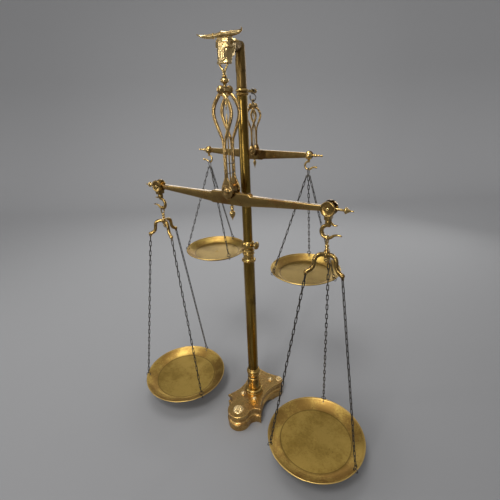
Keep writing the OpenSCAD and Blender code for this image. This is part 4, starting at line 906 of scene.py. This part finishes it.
# Spiders
# The three-armed cast brass piece over each large pan: flat-topped arches that fall and kick out to
# a ball at the tip, with a small eye under each ball for its chain.
hub = pivot("front_right_pan_turn")
for side, name, turn in ((-1, "front_left_spider", 95), (1, "front_right_spider", 102)):
    parts = [lathe([(3.1, -10), (7.2, -10), (8, -9.2), (8.4, -6), (10.2, -4.2), (11, 0), (10.2, 4.2),
                    (8.4, 6), (8, 9.2), (7.2, 10), (3.1, 10)], 40)]
    arm = spline([(4, 0), (14, 0.8), (24, -0.6), (31.5, -6), (35, -15), (36, -25), (38.6, -34.5),
                  (45, -42), (52.5, -46.5), (59.5, -49.4)], 5)
    ring = [(60 + x, 0, -57 + z) for x, z in arc((0, 0), 4, 0, 360, 24)]
    for k in range(3):
        spin = Matrix.Rotation(math.radians(turn + 120 * k), 4, "Z")
        parts.append(moved(bar([(x, 0, z) for x, z in arm],
                               [5.8, 6.1, 6.2, 6.2, 6.1, 6.0, 6.0, 6.2, 6.4, 6.4],
                               [7.0, 6.6, 6.2, 6.0, 5.9, 5.8, 5.8, 6.0, 6.2, 6.2], power=2.6), spin))
        parts.append(moved(ball(7.2), spin @ Matrix.Translation((57.5, 0, -48.6))))
        parts.append(moved(bar(ring, [1.5] * 2, [1.5] * 2, sides=12, ends=False), spin))
    place = Matrix.Translation((side * hub.x, hub.y, hub.z))
    piece(name + "_cast", join(*(moved(s, place) for s in parts)), HOOK,
          name.replace("spider", "pan_set"), "polished_brass", name)

# Large chains
# Three chains of oval links to each pan, closed from dark steel wire, with a round ring at either
# end that hooks into the spider's eye and the pan's hole.
CHAIN = aged("chain_steel", (0.075, 0.07, 0.062, 1), (0.035, 0.03, 0.025, 1),
             (0.04, 0.022, 0.012, 1), rough=0.36, cloud=90, depth=0.002)
dress(CHAIN, "front_left_chains", "front_right_chains")

# S-hook and hanger
# Steel wire bent to an S hangs in the bracket's eye. Under it a small brass hanger carries the
# crossbar of the small balance.
dress(STEEL, "rear_s_hook")
dress(POLISHED, "rear_hanger")
dress(FRAME, "rear_crossbar")

# Stirrups of the small balance
# The same pair of cast lyre frames at about half the size. They hang from the small crossbar and
# bear the axle of the small beam.
SMALL_CROSSBAR_Z, SMALL_STIRRUP_OUT = 1224, 14
axle = pivot("rear_beam_tilt")
for side, node in ((1, "rear_frame_near"), (-1, "rear_frame_far")):
    shapes = stirrup(side, (0, axle.y - side * SMALL_STIRRUP_OUT, SMALL_CROSSBAR_Z), width=18,
                     drop=SMALL_CROSSBAR_Z - axle.z, rod=4.9, stem=7.2, plate=12, thick=4.2, knob=7.6)
    piece(node + "_cast", join(*shapes), FRAME, "rear_suspension", "polished_brass", node)

# Small beam
# A slimmer bar of cast brass on its own steel axle, with turned points driven into its ends, a
# needle above it and a drop below.
end = pivot("rear_right_hook_swing")
drum = [(0, -4), (5, -4), (6, -3.2), (6, 3.2), (5, 4), (0, 4)]
parts = [beam(end.x, top=(5.5, 3.6), low=(-26.5, -11.5), mid_top=5.5, mid_low=-26.5, thin=8.4,
              middle=30, thick=10, edge_r=1.8)]
parts += [moved(facing(1, lathe(drum)), Matrix.Translation((s * end.x, 0, end.z - axle.z)))
          for s in (-1, 1)]
parts.append(facing(1, lathe([(0, -11.5), (8.4, -11.5), (9, -11), (9, 11), (8.4, 11.5),
                              (0, 11.5)])))
piece("rear_beam_bar", join(*(moved(s, Matrix.Translation(axle)) for s in parts)), BEAM,
      "rear_beam", "polished_brass", "rear_beam")
dress(STEEL, "rear_axle")
dress(POLISHED, "rear_needle", "rear_end_pins", "rear_finials")

# Small hooks, eyes and chains
# Brass hooks whose round housings are slotted over the small beam's ends. A long steel eye in each
# gathers the three light chains of its pan.
dress(POLISHED, "rear_left_hook", "rear_right_hook")
dress(STEEL, "rear_left_eye", "rear_right_eye")
dress(CHAIN, "rear_left_chains", "rear_right_chains")

# Pans
# Spun sheet brass with a rolled rim and three drilled holes: faint rings from the spinning, a web
# of small scratches, and brown bloom towards the rim.
SPUN_BRIGHT, SPUN_WORN, SPUN_FLECK = (0.60, 0.40, 0.10), (0.37, 0.235, 0.05), (0.15, 0.09, 0.03, 1)
# The crease colour is painted shade along the pan's bend.
BLOOM, CREASE_SHADE, RIM = (0.24, 0.13, 0.035, 1), (0.13, 0.075, 0.02, 1), (0.72, 0.50, 0.17, 1)


def spun(name, centre, flat_r, rim_r, shine):
    """Brass spun about a centre; it bends up at flat_r and ends at rim_r, in metres."""
    p = Paint(name)
    where = p.place()
    flat = p.vector("SUBTRACT", where, (centre.x * MM, centre.y * MM, 0))
    radius = p.vector("LENGTH", p.vector("MULTIPLY", flat, (1, 1, 0)), out="Value")
    rings = p.node("ShaderNodeTexNoise", {"W": radius, "Scale": 900, "Detail": 2},
                   noise_dimensions="1D")
    broad = p.noise(where, 11, 5, 0.6)
    fleck = p.noise(where, 160, 5, 0.65)
    bright, worn = (tuple(shine * c for c in colour) + (1,) for colour in (SPUN_BRIGHT, SPUN_WORN))
    tone = p.mix(p.ramp(broad + 0.3 * (fleck - 0.5), 0.38, 0.70), bright, worn)
    tone = p.mix(p.ramp(fleck, 0.58, 0.75) * 0.5, tone, SPUN_FLECK)
    bloom = p.ramp(radius, flat_r - 0.002, flat_r + 0.006) * p.ramp(broad + 0.5 * fleck, 0.62, 0.86)
    tone = p.mix(bloom * 0.7, tone, BLOOM)
    # Painted shade: a dark ring where the flat bends up into the rim.
    crease_shade = p.ramp(radius, flat_r - 0.003, flat_r) * (1 - p.ramp(radius, flat_r, flat_r + 0.004))
    tone = p.mix(crease_shade * 0.75, tone, CREASE_SHADE)
    # Lighter towards the rim.
    lighter_rim = p.ramp(radius, rim_r - 0.008, rim_r - 0.002)
    tone = p.mix(lighter_rim * 0.5, tone, RIM)
    return p.finish(Base_Color=tone, Metallic=1.0, Roughness=0.30 + 0.14 * broad + 0.06 * rings,
                    Normal=p.bump(rings + fleck, 0.00004))


for balance, flat_r, rim_r, shine in (("front", 0.130, 0.178, 0.72), ("rear", 0.088, 0.122, 0.62)):
    for side in ("left", "right"):
        name = balance + "_" + side + "_pan"
        dress(spun(name + "_brass", pivot(name + "_swing"), flat_r, rim_r, shine), name)
